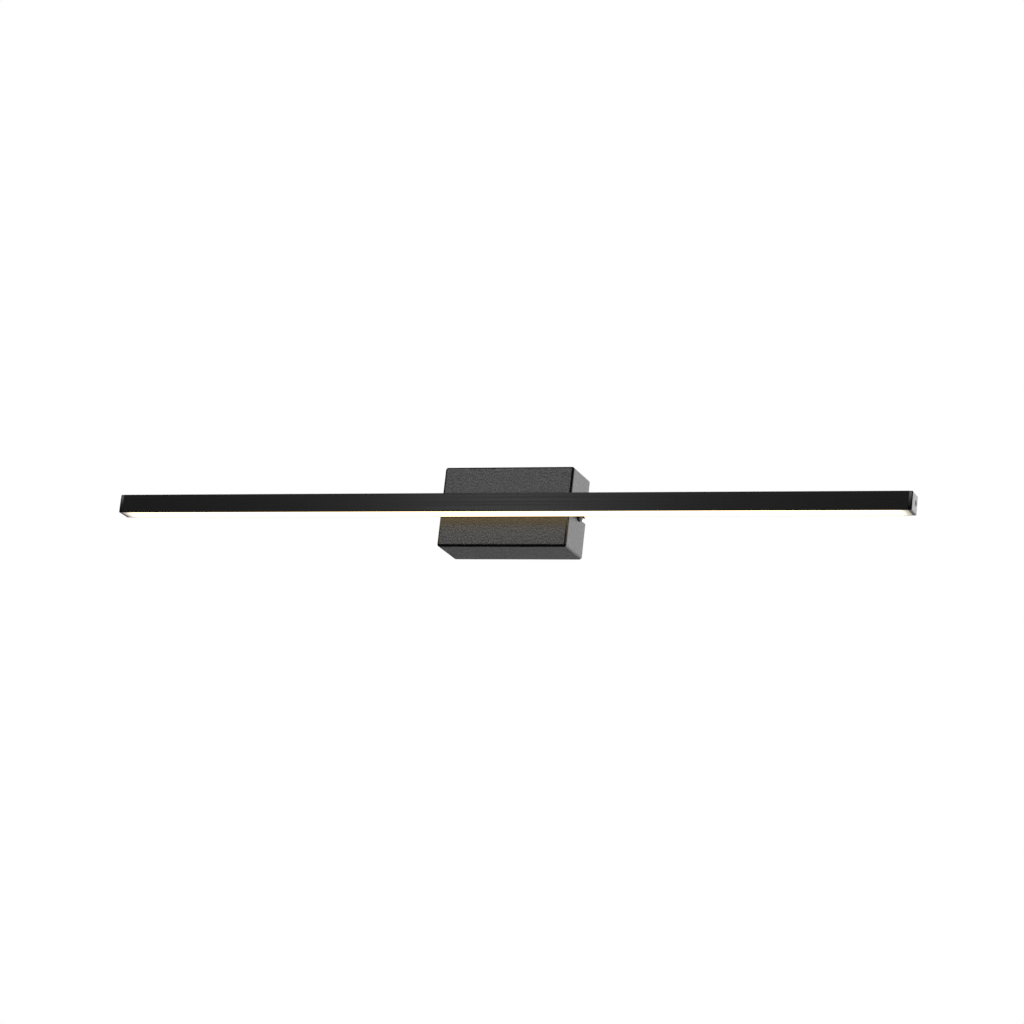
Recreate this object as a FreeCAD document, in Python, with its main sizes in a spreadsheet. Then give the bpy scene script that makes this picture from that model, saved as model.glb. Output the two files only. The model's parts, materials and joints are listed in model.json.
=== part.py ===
import FreeCAD, Part
import math
import os
import re

import Sketcher
from FreeCAD import Placement, Rotation, Vector

# Vanity light bar: a square aluminium bar with an opal diffuser underneath, bolted to the front
# of a sheet-steel canopy that two thumb screws hold to a wall bracket.
# Millimetres. +X runs along the bar, -Y points away from the wall, +Z is up.
# The origin is on the wall, at the centre of the canopy.

doc = FreeCAD.newDocument("vanity_light_bar")

# Driving dimensions, in millimetres.
SIZES = {
    "bar_length": (800, "bar over both end caps"),
    "bar_size": (18, "side of the bar's square section"),
    "bar_drop": (1.2, "bar's centre below the canopy's centre"),
    "bar_wall": (1.2, "wall of the aluminium profile"),
    "bar_edge": (0.4, "radius of the profile's long edges"),
    "web_top": (-1.0, "upper face of the profile's web, from the bar's centre"),
    "web_base": (-2.5, "lower face of the profile's web, from the bar's centre"),
    "snap_rib": (0.5, "height of the ribs that hold the diffuser"),
    "rib_low": (-6.6, "lower side of a snap rib, from the bar's centre"),
    "rib_high": (-6.1, "upper side of a snap rib, from the bar's centre"),
    "port_back": (2.5, "end cap screw behind the bar's centre"),
    "port_up": (0.6, "end cap screw above the bar's centre"),
    "port_radius": (2.6, "outer radius of the screw port"),
    "cap_thickness": (3.5, "end cap"),
    "cap_round": (0.9, "radius of an end cap's upright outer edges"),
    "diffuser_skin": (1.5, "thickness of the diffuser's face"),
    "diffuser_leg": (1.3, "thickness of the diffuser's legs"),
    "diffuser_play": (0.05, "room between the diffuser and the profile"),
    "board_width": (12, "light board"),
    "board_thickness": (1.5, "light board"),
    "tape_thickness": (0.3, "thermal tape"),
    "board_end": (4, "light board stops short of the end cap by"),
    "chip_pitch": (12, "spacing of the light chips"),
    "canopy_width": (131, "canopy along the bar"),
    "canopy_height": (78.4, "canopy"),
    "canopy_depth": (44, "canopy from the wall to its face"),
    "canopy_sheet": (1.2, "canopy's steel sheet"),
    "canopy_bend": (2.5, "outer radius of the canopy's front bends"),
    "canopy_corner": (2.6, "outer radius of the canopy's corners"),
    "canopy_slot": (8.6, "width of the open slots in the canopy's sides"),
    "screw_back": (17, "thumb screw's axis from the wall"),
    "bracket_sheet": (1.5, "wall bracket's steel sheet"),
    "bracket_height": (40, "wall bracket"),
    "bracket_gap": (0.4, "bracket's ears inside the canopy's sides"),
    "bracket_bend": (2.5, "outer radius of the bracket's bends"),
    "ear_height": (30, "bracket's ears"),
    "ear_depth": (24, "bracket's ears from the wall"),
    "box_spacing": (79.4, "wall box screws, middle of the usual range"),
    "wall_slot_length": (14, "wall screw slots, end to end"),
    "wall_slot_width": (4.5, "wall screw slots"),
    "cable_bore": (16, "bore of the cable bushing"),
    "bushing_sleeve": (22, "outer diameter of the bushing's sleeve"),
    "thread": (3.9, "shank of an M4 screw"),
    "thread_bore": (4.0, "bore of an M4 thread"),
    "clearance_bore": (4.5, "clearance hole for an M4 screw"),
    "washer_diameter": (13.5, "thumb screw's washer"),
    "washer_thickness": (1.2, "thumb screw's washer"),
    "washer_gap": (0.15, "washer off the canopy's side"),
    "collar_gap": (0.05, "thumb screw's collar off its washer"),
    "neck_diameter": (5.2, "thumb screw's collar"),
    "neck_length": (2.4, "thumb screw's collar"),
    "knob_diameter": (8.0, "thumb screw's knurled head"),
    "knob_length": (2.0, "thumb screw's knurled head"),
    "shank_length": (7.9, "thumb screw below its collar"),
    "fixing_offset": (25, "bar fixing screws either side of the centre"),
    "fixing_up": (3.9, "bar fixing screws above the bar's centre"),
    "lead_hole_side": (12, "lead grommet beside the centre"),
    "lead_hole_up": (4.8, "lead grommet above the bar's centre"),
    "led_lead": (1.3, "diameter of the leads into the bar"),
    "mains_lead": (2.0, "diameter of the leads inside the canopy"),
    "driver_length": (92, "power supply along the bar"),
    "driver_height": (26, "power supply"),
    "driver_depth": (20, "power supply's case"),
    "driver_low": (-36, "underside of the power supply"),
    "driver_wall": (1.5, "power supply's case and lid"),
    "pad_thickness": (1.0, "foam pad behind the power supply"),
    "block_low": (12, "underside of the terminal block"),
    "block_high": (28, "top of the terminal block"),
    "block_half": (18, "half the length of the terminal block"),
    "block_depth": (12, "terminal block"),
    "pole_pitch": (10, "spacing of the terminal block's poles"),
}

sheet = doc.addObject("Spreadsheet::Sheet", "sizes")
for row, (alias, (size, note)) in enumerate(SIZES.items(), start=1):
    sheet.set(f"A{row}", note)
    sheet.set(f"B{row}", str(size))
    sheet.setAlias(f"B{row}", alias)
doc.recompute()

# Places that several sub-parts share, as formulas of the sheet's values.
CANOPY_FACE = "-canopy_depth"
CANOPY_INSIDE = "(canopy_sheet-canopy_depth)"
EAR_OUTSIDE = "(canopy_width/2-canopy_sheet-bracket_gap)"
EAR_INSIDE = "(canopy_width/2-canopy_sheet-bracket_gap-bracket_sheet)"
BAR_Y = "(-canopy_depth-bar_size/2)"
BAR_Z = "(-bar_drop)"
BAR_BACK_INSIDE = "(-canopy_depth-bar_wall)"
PROFILE_HALF = "(bar_length/2-cap_thickness)"
FIXING_Z = "(fixing_up-bar_drop)"
LEAD_HOLE_Z = "(lead_hole_up-bar_drop)"
WEB_HOLE_Y = "(-canopy_depth-bar_wall-11.5)"
DRIVER_FRONT = "(canopy_sheet-canopy_depth+pad_thickness)"
DRIVER_REAR = "(canopy_sheet-canopy_depth+pad_thickness+driver_depth)"
BOARD_FRONT = f"({DRIVER_FRONT}+3)"
BOARD_REAR = f"({DRIVER_FRONT}+4.6)"
POLE_Y = "(canopy_sheet-canopy_depth+block_depth/2)"
SCREW_HEIGHTS = {"low": "block_low+5", "high": "block_high-5"}
BLOCK_STUD_PLACE = ("(-pole_pitch/2)", CANOPY_INSIDE, "(block_low+block_high)/2")
EARTH_STUD_PLACE = ("34", CANOPY_INSIDE, "20")
EARTH_SCREW_PLACE = ("24", "-13")

# Where each lead goes through the top of the driver's case: x, y and the lead's diameter.
DRIVER_OUTLETS = {
    "live": ("-14", "-33", "mains_lead"),
    "neutral": ("-3", "-33", "mains_lead"),
    "positive": ("11", "-33", "led_lead"),
    "negative": ("14", "-33", "led_lead"),
}

# Fastener sizes that no sketch uses.
NUT_COLLAR = 2.0
SCREW_HEAD = 2.6
WASHER_SHEET = 0.8
RING_SHEET = 1.2

AXES = {"x": Vector(1, 0, 0), "y": Vector(0, 1, 0), "z": Vector(0, 0, 1)}


def named(formula):
    """Point each size's name in a formula at the sheet."""
    def pointed(word):
        return f"sizes.{word[0]}" if word[0] in SIZES else word[0]
    return re.sub(r"[a-z_]+", pointed, str(formula))


def number(formula):
    """The value that a formula has now."""
    return float(sheet.evalExpression(named(formula)))


def bind(item, setting, formula):
    item.setExpression(setting, named(formula))


def place(item, x, y, z):
    for axis, formula in zip("xyz", (x, y, z)):
        bind(item, f"Placement.Base.{axis}", formula)


def label(item, name):
    item.Label = name
    return item


# ---- Part primitives and booleans, bound to the sheet

def box(name, low, high):
    solid = doc.addObject("Part::Box", name)
    for setting, start, end in zip(("Length", "Width", "Height"), low, high):
        bind(solid, setting, f"({end})-({start})")
    place(solid, *low)
    return solid


def turned(solid, axis, start):
    """Stand a primitive's own +Z along an axis, such as "x" or "-x", from a start point."""
    direction = AXES[axis[-1]] * (-1 if axis.startswith("-") else 1)
    solid.Placement = Placement(Vector(), Rotation(Vector(0, 0, 1), direction))
    place(solid, *start)
    return solid


def rod(name, axis, start, diameter, length):
    solid = doc.addObject("Part::Cylinder", name)
    bind(solid, "Radius", f"({diameter})/2")
    bind(solid, "Height", length)
    return turned(solid, axis, start)


def cone(name, axis, start, diameter, end_diameter, length):
    solid = doc.addObject("Part::Cone", name)
    bind(solid, "Radius1", f"({diameter})/2")
    bind(solid, "Radius2", f"({end_diameter})/2")
    bind(solid, "Height", length)
    return turned(solid, axis, start)


def hexagon(name, axis, start, across_corners, length):
    solid = doc.addObject("Part::Prism", name)
    solid.Polygon = 6
    bind(solid, "Circumradius", f"({across_corners})/2")
    bind(solid, "Height", length)
    return turned(solid, axis, start)


def fuse(name, *solids):
    joined = doc.addObject("Part::MultiFuse", name)
    joined.Shapes = list(solids)
    return joined


def cut(name, base, *tools):
    piece = doc.addObject("Part::Cut", name)
    piece.Base = base
    piece.Tool = tools[0] if len(tools) == 1 else fuse(f"{name}_tools", *tools)
    return piece


def several(name, solids):
    """Like pieces that stay separate solids in one sub-part."""
    group = doc.addObject("Part::Compound", name)
    group.Links = list(solids)
    return group


# ---- PartDesign bodies and their sketches

def new_body(name):
    return label(doc.addObject("PartDesign::Body", f"{name}_body"), name)


def new_sketch(body, plane, offset="0"):
    drawing = body.newObject("Sketcher::SketchObject", f"{body.Label}_sketch")
    planes = {feature.Role: feature for feature in body.Origin.OriginFeatures}
    drawing.AttachmentSupport = (planes[plane], [""])
    drawing.MapMode = "FlatFace"
    bind(drawing, "AttachmentOffset.Base.z", offset)
    return drawing


def pin_point(drawing, curve, point, x, y):
    """Fix a sketch point at two formulas, measured from the sketch's origin."""
    for kind, formula in (("DistanceX", x), ("DistanceY", y)):
        index = drawing.addConstraint(Sketcher.Constraint(kind, -1, 1, curve, point, number(formula)))
        bind(drawing, f"Constraints[{index}]", formula)


def outline(drawing, points):
    """A closed loop of straight lines through points given as formulas."""
    places = [Vector(number(x), number(y), 0) for x, y in points]
    first = drawing.GeometryCount
    for start, end in zip(places, places[1:] + places[:1]):
        drawing.addGeometry(Part.LineSegment(start, end), False)
    for step, (x, y) in enumerate(points):
        after = first + (step - 1) % len(points)
        drawing.addConstraint(Sketcher.Constraint("Coincident", first + step, 1, after, 2))
        pin_point(drawing, first + step, 1, x, y)


def rectangle(drawing, low, high):
    outline(drawing, [low, (high[0], low[1]), high, (low[0], high[1])])


def disc(drawing, x, y, diameter):
    centre = Vector(number(x), number(y), 0)
    curve = drawing.addGeometry(Part.Circle(centre, Vector(0, 0, 1), number(diameter) / 2), False)
    index = drawing.addConstraint(Sketcher.Constraint("Diameter", curve, number(diameter)))
    bind(drawing, f"Constraints[{index}]", diameter)
    pin_point(drawing, curve, 3, x, y)


def obround(drawing, x, y, length, width):
    """A slot along the sketch's X, given by its centre, its length over all and its width."""
    radius = number(width) / 2
    reach = (number(length) - number(width)) / 2
    centre = Vector(number(x), number(y), 0)
    ends = [Vector(side * reach, 0, 0) + centre for side in (1, -1)]
    up = Vector(0, radius, 0)
    quarter = math.pi / 2
    right = Part.ArcOfCircle(Part.Circle(ends[0], Vector(0, 0, 1), radius), -quarter, quarter)
    left = Part.ArcOfCircle(Part.Circle(ends[1], Vector(0, 0, 1), radius), quarter, 3 * quarter)
    top = Part.LineSegment(ends[0] + up, ends[1] + up)
    low = Part.LineSegment(ends[1] - up, ends[0] - up)
    first = drawing.addGeometry([right, top, left, low], False)[0]
    for curve in range(4):
        after = first + (curve + 1) % 4
        drawing.addConstraint(Sketcher.Constraint("Tangent", first + curve, 2, after, 1))
    index = drawing.addConstraint(Sketcher.Constraint("Diameter", first, number(width)))
    bind(drawing, f"Constraints[{index}]", width)
    pin_point(drawing, first, 3, f"({x})+(({length})-({width}))/2", y)
    pin_point(drawing, first + 2, 3, f"({x})-(({length})-({width}))/2", y)


def changed(body, feature, grows):
    """Recompute, and stop if a feature added or cut nothing."""
    before = feature.BaseFeature.Shape.Volume if feature.BaseFeature else 0.0
    doc.recompute()
    difference = feature.Shape.Volume - before
    if (difference > 0) != grows or abs(difference) < 1e-3:
        raise RuntimeError(f"{body.Label}: {feature.Name} changed the volume by {difference:.4f}")
    return feature


def pad(body, drawing, length, symmetric=False, backwards=False):
    feature = body.newObject("PartDesign::Pad", f"{body.Label}_pad")
    feature.Profile = drawing
    feature.SideType = "Symmetric" if symmetric else "One side"
    feature.Reversed = backwards
    bind(feature, "Length", length)
    return changed(body, feature, grows=True)


def pocket(body, drawing, length, symmetric=False, backwards=False):
    feature = body.newObject("PartDesign::Pocket", f"{body.Label}_pocket")
    feature.Profile = drawing
    feature.SideType = "Symmetric" if symmetric else "One side"
    feature.Reversed = backwards
    bind(feature, "Length", length)
    return changed(body, feature, grows=False)


def edges_where(feature, test):
    """Names of the straight edges whose two end points pass a test."""
    names = []
    for index, edge in enumerate(feature.Shape.Edges, start=1):
        ends = [vertex.Point for vertex in edge.Vertexes]
        if edge.Curve.TypeId == "Part::GeomLine" and len(ends) == 2 and test(*ends):
            names.append(f"Edge{index}")
    return names


def fillet(body, feature, test, radius):
    names = edges_where(feature, test)
    if not names:
        raise RuntimeError(f"{body.Label}: no edge to round")
    rounding = body.newObject("PartDesign::Fillet", f"{body.Label}_fillet")
    rounding.Base = (feature, names)
    bind(rounding, "Radius", radius)
    doc.recompute()
    return rounding


def close(first, second):
    return abs(first - second) < 1e-4


def along(axis, start, end):
    """True for an edge that runs along one axis only."""
    return all(close(getattr(start, other), getattr(end, other)) for other in "xyz" if other != axis)


# ---- the wall bracket and what stays on the wall with it

def wall_bracket():
    body = new_body("wall_bracket")
    plan = new_sketch(body, "XY_Plane")
    outline(plan, [
        (f"-{EAR_OUTSIDE}", "0"),
        (EAR_OUTSIDE, "0"),
        (EAR_OUTSIDE, "-ear_depth"),
        (EAR_INSIDE, "-ear_depth"),
        (EAR_INSIDE, "-bracket_sheet"),
        (f"-{EAR_INSIDE}", "-bracket_sheet"),
        (f"-{EAR_INSIDE}", "-ear_depth"),
        (f"-{EAR_OUTSIDE}", "-ear_depth"),
    ])
    channel = pad(body, plan, "bracket_height", symmetric=True)
    outside = number(EAR_OUTSIDE)
    inside = number(EAR_INSIDE)
    rounded = fillet(
        body, channel,
        lambda a, b: along("z", a, b) and close(abs(a.x), outside) and close(a.y, 0),
        "bracket_bend")
    rounded = fillet(
        body, rounded,
        lambda a, b: along("z", a, b) and close(abs(a.x), inside) and close(a.y, -number("bracket_sheet")),
        "bracket_bend-bracket_sheet")

    trims = new_sketch(body, "YZ_Plane")
    for low, high in (("ear_height/2", "bracket_height"), ("-bracket_height", "-ear_height/2")):
        rectangle(trims, ("-2*ear_depth", low), ("-bracket_bend", high))
    pocket(body, trims, "canopy_width", symmetric=True)

    ear_holes = new_sketch(body, "YZ_Plane")
    disc(ear_holes, "-screw_back", "0", "5.5")
    pocket(body, ear_holes, "canopy_width", symmetric=True)

    wall_holes = new_sketch(body, "XZ_Plane")
    for side in ("-", "+"):
        obround(wall_holes, f"0{side}box_spacing/2", "0", "wall_slot_length", "wall_slot_width")
    disc(wall_holes, "0", "0", "bushing_sleeve+0.2")
    disc(wall_holes, *EARTH_SCREW_PLACE, "thread_bore+0.1")
    pocket(body, wall_holes, "2*bracket_sheet", symmetric=True)
    return body


def side_clinch_nuts():
    nuts = []
    for side, sign in (("left", "-"), ("right", "")):
        start = (f"{sign}{EAR_INSIDE}", "-screw_back", "0")
        inward = "-x" if side == "right" else "x"
        outward = "x" if side == "right" else "-x"
        collar = rod(f"nut_collar_{side}", inward, start, "8.4", NUT_COLLAR)
        pilot = rod(f"nut_pilot_{side}", outward, start, "5.4", "bracket_sheet-0.2")
        bore_start = (f"{sign}({EAR_INSIDE}-{NUT_COLLAR})", "-screw_back", "0")
        bore = rod(f"nut_bore_{side}", outward, bore_start, "thread_bore", "5")
        nuts.append(cut(f"clinch_nut_{side}", fuse(f"nut_blank_{side}", collar, pilot), bore))
    return label(several("clinch_nut_pair", nuts), "side_clinch_nuts")


def cable_bushing():
    sleeve = rod("bushing_sleeve_rod", "-y", ("0", "0", "0"), "bushing_sleeve", "bracket_sheet")
    flange = rod("bushing_flange", "-y", ("0", "-bracket_sheet", "0"), "bushing_sleeve+3.5", "1.2")
    bore = rod("bushing_bore", "-y", ("0", "0", "0"), "cable_bore", "bracket_sheet+1.2")
    return label(cut("bushing_ring", fuse("bushing_blank", sleeve, flange), bore), "cable_bushing")


def bracket_earth_screw():
    x, z = EARTH_SCREW_PLACE
    washer_top = f"-bracket_sheet-{WASHER_SHEET}"
    shank = rod("earth_shank", "y", (x, washer_top, z), "thread", f"bracket_sheet+{WASHER_SHEET}")
    head = hexagon("earth_head", "-y", (x, washer_top, z), "8.1", "2.8")
    slot = box(
        "earth_slot",
        (f"{x}-5", f"{washer_top}-3", f"{z}-0.5"),
        (f"{x}+5", f"{washer_top}-1.6", f"{z}+0.5"))
    blank = fuse("earth_screw_blank", shank, head)
    return label(cut("earth_screw_cut", blank, slot), "bracket_earth_screw")


def bracket_earth_washer():
    x, z = EARTH_SCREW_PLACE
    start = (x, "-bracket_sheet", z)
    ring = rod("earth_washer_disc", "-y", start, "9", WASHER_SHEET)
    hole = rod("earth_washer_hole", "-y", start, "thread_bore+0.1", WASHER_SHEET)
    return label(cut("earth_washer_ring", ring, hole), "bracket_earth_washer")


# ---- the canopy, its power supply and its terminals

def canopy_cover():
    body = new_body("canopy_cover")
    half = ("canopy_width/2", "canopy_height/2")
    face = new_sketch(body, "XZ_Plane")
    rectangle(face, tuple(f"-{size}" for size in half), half)
    block = pad(body, face, "canopy_depth")
    front = number(CANOPY_FACE)
    rounded = fillet(body, block, lambda a, b: along("y", a, b), "canopy_corner")
    fillet(
        body, rounded,
        lambda a, b: close(a.y, front) and close(b.y, front),
        "canopy_bend")

    hollow = new_sketch(body, "XZ_Plane")
    room = tuple(f"{size}-canopy_sheet" for size in half)
    rectangle(hollow, tuple(f"-({size})" for size in room), room)
    opened = pocket(body, hollow, "canopy_depth-canopy_sheet", backwards=True)
    inside = number(half[0]) - number("canopy_sheet")
    floor = number(CANOPY_INSIDE)
    opened = fillet(
        body, opened,
        lambda a, b: along("y", a, b) and close(abs(a.x), inside),
        "canopy_corner-canopy_sheet")
    fillet(
        body, opened,
        lambda a, b: close(a.y, floor) and close(b.y, floor),
        "canopy_bend-canopy_sheet")

    side_slots = new_sketch(body, "YZ_Plane")
    rectangle(side_slots, ("-screw_back", "-canopy_slot/2"), ("5", "canopy_slot/2"))
    pocket(body, side_slots, "2*canopy_width", symmetric=True)
    slot_ends = new_sketch(body, "YZ_Plane")
    disc(slot_ends, "-screw_back", "0", "canopy_slot")
    pocket(body, slot_ends, "2*canopy_width", symmetric=True)

    face_holes = new_sketch(body, "XZ_Plane")
    for side in ("-", ""):
        disc(face_holes, f"{side}fixing_offset", FIXING_Z, "clearance_bore")
    disc(face_holes, "lead_hole_side", LEAD_HOLE_Z, "8.1")
    pocket(body, face_holes, "2*canopy_depth", backwards=True)
    return body


def weld_studs():
    """An M3 stud for the terminal block and an M4 earth stud, welded inside the canopy."""
    block_stud = rod("block_stud", "y", BLOCK_STUD_PLACE, "3", "15.5")
    earth_stud = rod("earth_stud", "y", EARTH_STUD_PLACE, "thread", "9")
    return label(several("stud_pair", [block_stud, earth_stud]), "weld_studs")


def stud_nuts():
    """Each sits on what its stud holds: the terminal block and the earth ring."""
    nuts = []
    seats = {
        "block": (BLOCK_STUD_PLACE, "block_depth", "3.1", "6.3", "2.4"),
        "earth": (EARTH_STUD_PLACE, RING_SHEET, "thread_bore", "8.1", "3.2"),
    }
    for name, ((x, y, z), held, bore, corners, length) in seats.items():
        start = (x, f"{y}+{held}", z)
        blank = hexagon(f"{name}_nut_blank", "y", start, corners, length)
        nuts.append(cut(f"{name}_nut", blank, rod(f"{name}_nut_bore", "y", start, bore, length)))
    return label(several("nut_pair", nuts), "stud_nuts")


def driver_foam_pad():
    low = ("-driver_length/2+6", CANOPY_INSIDE, "driver_low+2")
    high = ("driver_length/2-6", DRIVER_FRONT, "driver_low+driver_height-2")
    return label(box("foam_pad", low, high), "driver_foam_pad")


def driver_case():
    body = new_body("driver_case")
    front = new_sketch(body, "XZ_Plane", f"-{DRIVER_REAR}")
    low = ("-driver_length/2", "driver_low")
    high = ("driver_length/2", "driver_low+driver_height")
    rectangle(front, low, high)
    block = pad(body, front, "driver_depth")
    fillet(body, block, lambda a, b: along("y", a, b), "2")
    hollow = new_sketch(body, "XZ_Plane", f"-{DRIVER_REAR}")
    rectangle(
        hollow,
        tuple(f"{size}+driver_wall" for size in low),
        tuple(f"{size}-driver_wall" for size in high))
    pocket(body, hollow, "driver_depth-driver_wall", backwards=True)
    lead_holes = new_sketch(body, "XY_Plane", "driver_low+driver_height")
    for x, y, diameter in DRIVER_OUTLETS.values():
        disc(lead_holes, x, y, f"{diameter}+0.6")
    pocket(body, lead_holes, "2*driver_wall+1", symmetric=True)
    return body


def driver_lid():
    plate = box(
        "lid_plate",
        ("-driver_length/2", DRIVER_REAR, "driver_low"),
        ("driver_length/2", f"{DRIVER_REAR}+driver_wall", "driver_low+driver_height"))
    edge = "driver_wall+0.2"
    lip = box(
        "lid_lip",
        (f"-driver_length/2+{edge}", f"{DRIVER_REAR}-1.5", f"driver_low+{edge}"),
        (f"driver_length/2-({edge})", DRIVER_REAR, f"driver_low+driver_height-({edge})"))
    return label(fuse("lid_blank", plate, lip), "driver_lid")


def driver_board():
    low = ("-driver_length/2+2.5", BOARD_FRONT, "driver_low+2.5")
    high = ("driver_length/2-2.5", BOARD_REAR, "driver_low+driver_height-2.5")
    return label(box("board_plate", low, high), "driver_board")


def driver_transformer():
    core = box("core", ("-9", BOARD_REAR, "-31"), ("9", f"{BOARD_REAR}+11", "-15"))
    window = box("core_window", ("-9", f"{BOARD_REAR}+2.5", "-27"), ("9", f"{BOARD_REAR}+12", "-19"))
    bobbin = rod("bobbin", "y", ("0", BOARD_REAR, "-23"), "11", "10")
    return label(fuse("transformer", cut("core_frame", core, window), bobbin), "driver_transformer")


def driver_capacitors():
    cans = [
        rod(f"can_{x}", "y", (x, BOARD_REAR, "-23"), diameter, length)
        for x, diameter, length in (("-30", "10", "11"), ("24", "8", "10"), ("34", "8", "10"))
    ]
    return label(several("cans", cans), "driver_capacitors")


def driver_chips():
    chips = []
    for index, (x, z) in enumerate((("-18", "-17"), ("-18", "-28"), ("15", "-29"))):
        chips.append(box(
            f"chip_{index}",
            (f"{x}-2.5", BOARD_REAR, f"{z}-2"),
            (f"{x}+2.5", f"{BOARD_REAR}+1.6", f"{z}+2")))
    return label(several("chips", chips), "driver_chips")


def pole_places():
    return [f"{pole}*pole_pitch" for pole in (-1, 0, 1)]


def terminal_block():
    low = ("-block_half", CANOPY_INSIDE, "block_low")
    high = ("block_half", f"{CANOPY_INSIDE}+block_depth", "block_high")
    tools = [rod("block_stud_hole", "y", BLOCK_STUD_PLACE, "3.4", "block_depth")]
    for index, x in enumerate(pole_places()):
        start = (x, POLE_Y, "block_low")
        tools.append(rod(f"pole_bore_{index}", "z", start, "5.8", "block_high-block_low"))
        for name, height in SCREW_HEIGHTS.items():
            hole = f"pole_screw_hole_{index}_{name}"
            tools.append(rod(hole, "y", (x, POLE_Y, height), "4.2", "block_depth"))
    return label(cut("block_body", box("block_blank", low, high), *tools), "terminal_block")


def terminal_clamps():
    clamps = []
    for index, x in enumerate(pole_places()):
        start = (x, POLE_Y, "block_low+2")
        length = "block_high-block_low-4"
        tube = rod(f"clamp_tube_{index}", "z", start, "5.6", length)
        bore = rod(f"clamp_bore_{index}", "z", start, "3.6", length)
        holes = [
            rod(f"clamp_hole_{index}_{name}", "y", (x, POLE_Y, height), "2.7", "5")
            for name, height in SCREW_HEIGHTS.items()
        ]
        clamps.append(cut(f"clamp_{index}", tube, bore, *holes))
    return label(several("clamps", clamps), "terminal_clamps")


def terminal_screws():
    screws = []
    for index, x in enumerate(pole_places()):
        for name, height in SCREW_HEIGHTS.items():
            start = (x, f"{POLE_Y}+1.4", height)
            seat = f"{POLE_Y}+3.0"
            shank = rod(f"terminal_shank_{index}_{name}", "y", start, "2.6", "1.8")
            head = rod(f"terminal_head_{index}_{name}", "y", (x, seat, height), "3.8", "2.2")
            slot = box(
                f"terminal_slot_{index}_{name}",
                (f"{x}-3", f"{seat}+1.4", f"{height}-0.35"),
                (f"{x}+3", f"{seat}+3", f"{height}+0.35"))
            blank = fuse(f"terminal_blank_{index}_{name}", shank, head)
            screws.append(cut(f"terminal_screw_{index}_{name}", blank, slot))
    return label(several("terminal_screw_set", screws), "terminal_screws")


# ---- leads: straight runs joined by tangent arcs, each as large as its two runs allow

def lead(name, diameter, route):
    points = [Vector(*(number(value) for value in point)) for point in route]
    edges = []
    start = points[0]
    for before, corner, after in zip(points, points[1:], points[2:]):
        back = (before - corner).normalize()
        ahead = (after - corner).normalize()
        half_turn = (math.pi - back.getAngle(ahead)) / 2
        trim = 0.45 * min(before.distanceToPoint(corner), after.distanceToPoint(corner))
        radius = trim / math.tan(half_turn)
        print(f"{name}: bend radius {radius:.1f}")
        enter = corner + back * trim
        leave = corner + ahead * trim
        centre = corner + (back + ahead).normalize() * (radius / math.cos(half_turn))
        middle = centre + (corner - centre).normalize() * radius
        edges.append(Part.LineSegment(start, enter).toShape())
        edges.append(Part.Arc(enter, middle, leave).toShape())
        start = leave
    edges.append(Part.LineSegment(start, points[-1]).toShape())
    path = Part.Wire(edges)
    section = Part.Wire(Part.makeCircle(number(diameter) / 2, points[0], points[1] - points[0]))
    tube = doc.addObject("Part::Feature", f"{name}_tube")
    tube.Shape = path.makePipeShell([section], True, False)
    print(f"{name}: length {path.Length:.1f}")
    expected = math.pi * (number(diameter) / 2) ** 2 * path.Length
    if abs(tube.Shape.Volume / expected - 1) > 0.02:
        raise RuntimeError(f"{name}: volume {tube.Shape.Volume:.2f}, expected {expected:.2f}")
    return label(tube, name)


def mains_leads():
    """From the terminal block's lower side into the top of the driver's case."""
    driver_top = "driver_low+driver_height"
    leads = []
    for name, pole in (("live", "-pole_pitch"), ("neutral", "0")):
        x, y, diameter = DRIVER_OUTLETS[name]
        leads.append(lead(f"{name}_lead", diameter, [
            (pole, POLE_Y, "block_low+4"),
            (pole, POLE_Y, "block_low-4"),
            (x, y, f"{driver_top}+7"),
            (x, y, f"{driver_top}-4"),
        ]))
    x, y, z = EARTH_STUD_PLACE
    leads.append(lead("earth_lead", "mains_lead", [
        ("pole_pitch", POLE_Y, "block_low+4"),
        ("pole_pitch", POLE_Y, "block_low-4"),
        ("pole_pitch+4", f"{POLE_Y}+7", "block_low-8.5"),
        (f"{x}-11", f"{POLE_Y}+7", "block_low-8"),
        (f"{x}-5", f"{POLE_Y}+1", "block_low-3"),
        (f"{x}-3", f"{y}+1.1", f"{z}-4"),
    ]))
    return leads


def earth_ring():
    """Crimped ring terminal on the earth stud."""
    x, y, z = EARTH_STUD_PLACE
    ring = rod("ring_disc", "y", (x, y, z), "8", RING_SHEET)
    hole = rod("ring_hole", "y", (x, y, z), "thread_bore+0.1", RING_SHEET)
    return label(cut("ring_terminal", ring, hole), "earth_ring_terminal")


def led_leads():
    """From the driver's case forwards through the grommet, then down to the light board."""
    board_top = f"{BAR_Z}+web_base-tape_thickness"
    leads = []
    for name, side in (("positive", "-1.0"), ("negative", "+1.0")):
        x, y, diameter = DRIVER_OUTLETS[name]
        through = f"lead_hole_side{side}"
        drop = f"lead_hole_side{side}*2.2"
        leads.append(lead(f"led_lead_{name}", diameter, [
            (x, y, "driver_low+driver_height-4"),
            (x, y, "-4"),
            (through, f"{y}-2.5", LEAD_HOLE_Z),
            (through, f"{BAR_BACK_INSIDE}-3", LEAD_HOLE_Z),
            (drop, f"{WEB_HOLE_Y}+2.7", LEAD_HOLE_Z),
            (drop, WEB_HOLE_Y, f"{LEAD_HOLE_Z}-2.7"),
            (drop, WEB_HOLE_Y, board_top),
        ]))
    return leads


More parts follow.
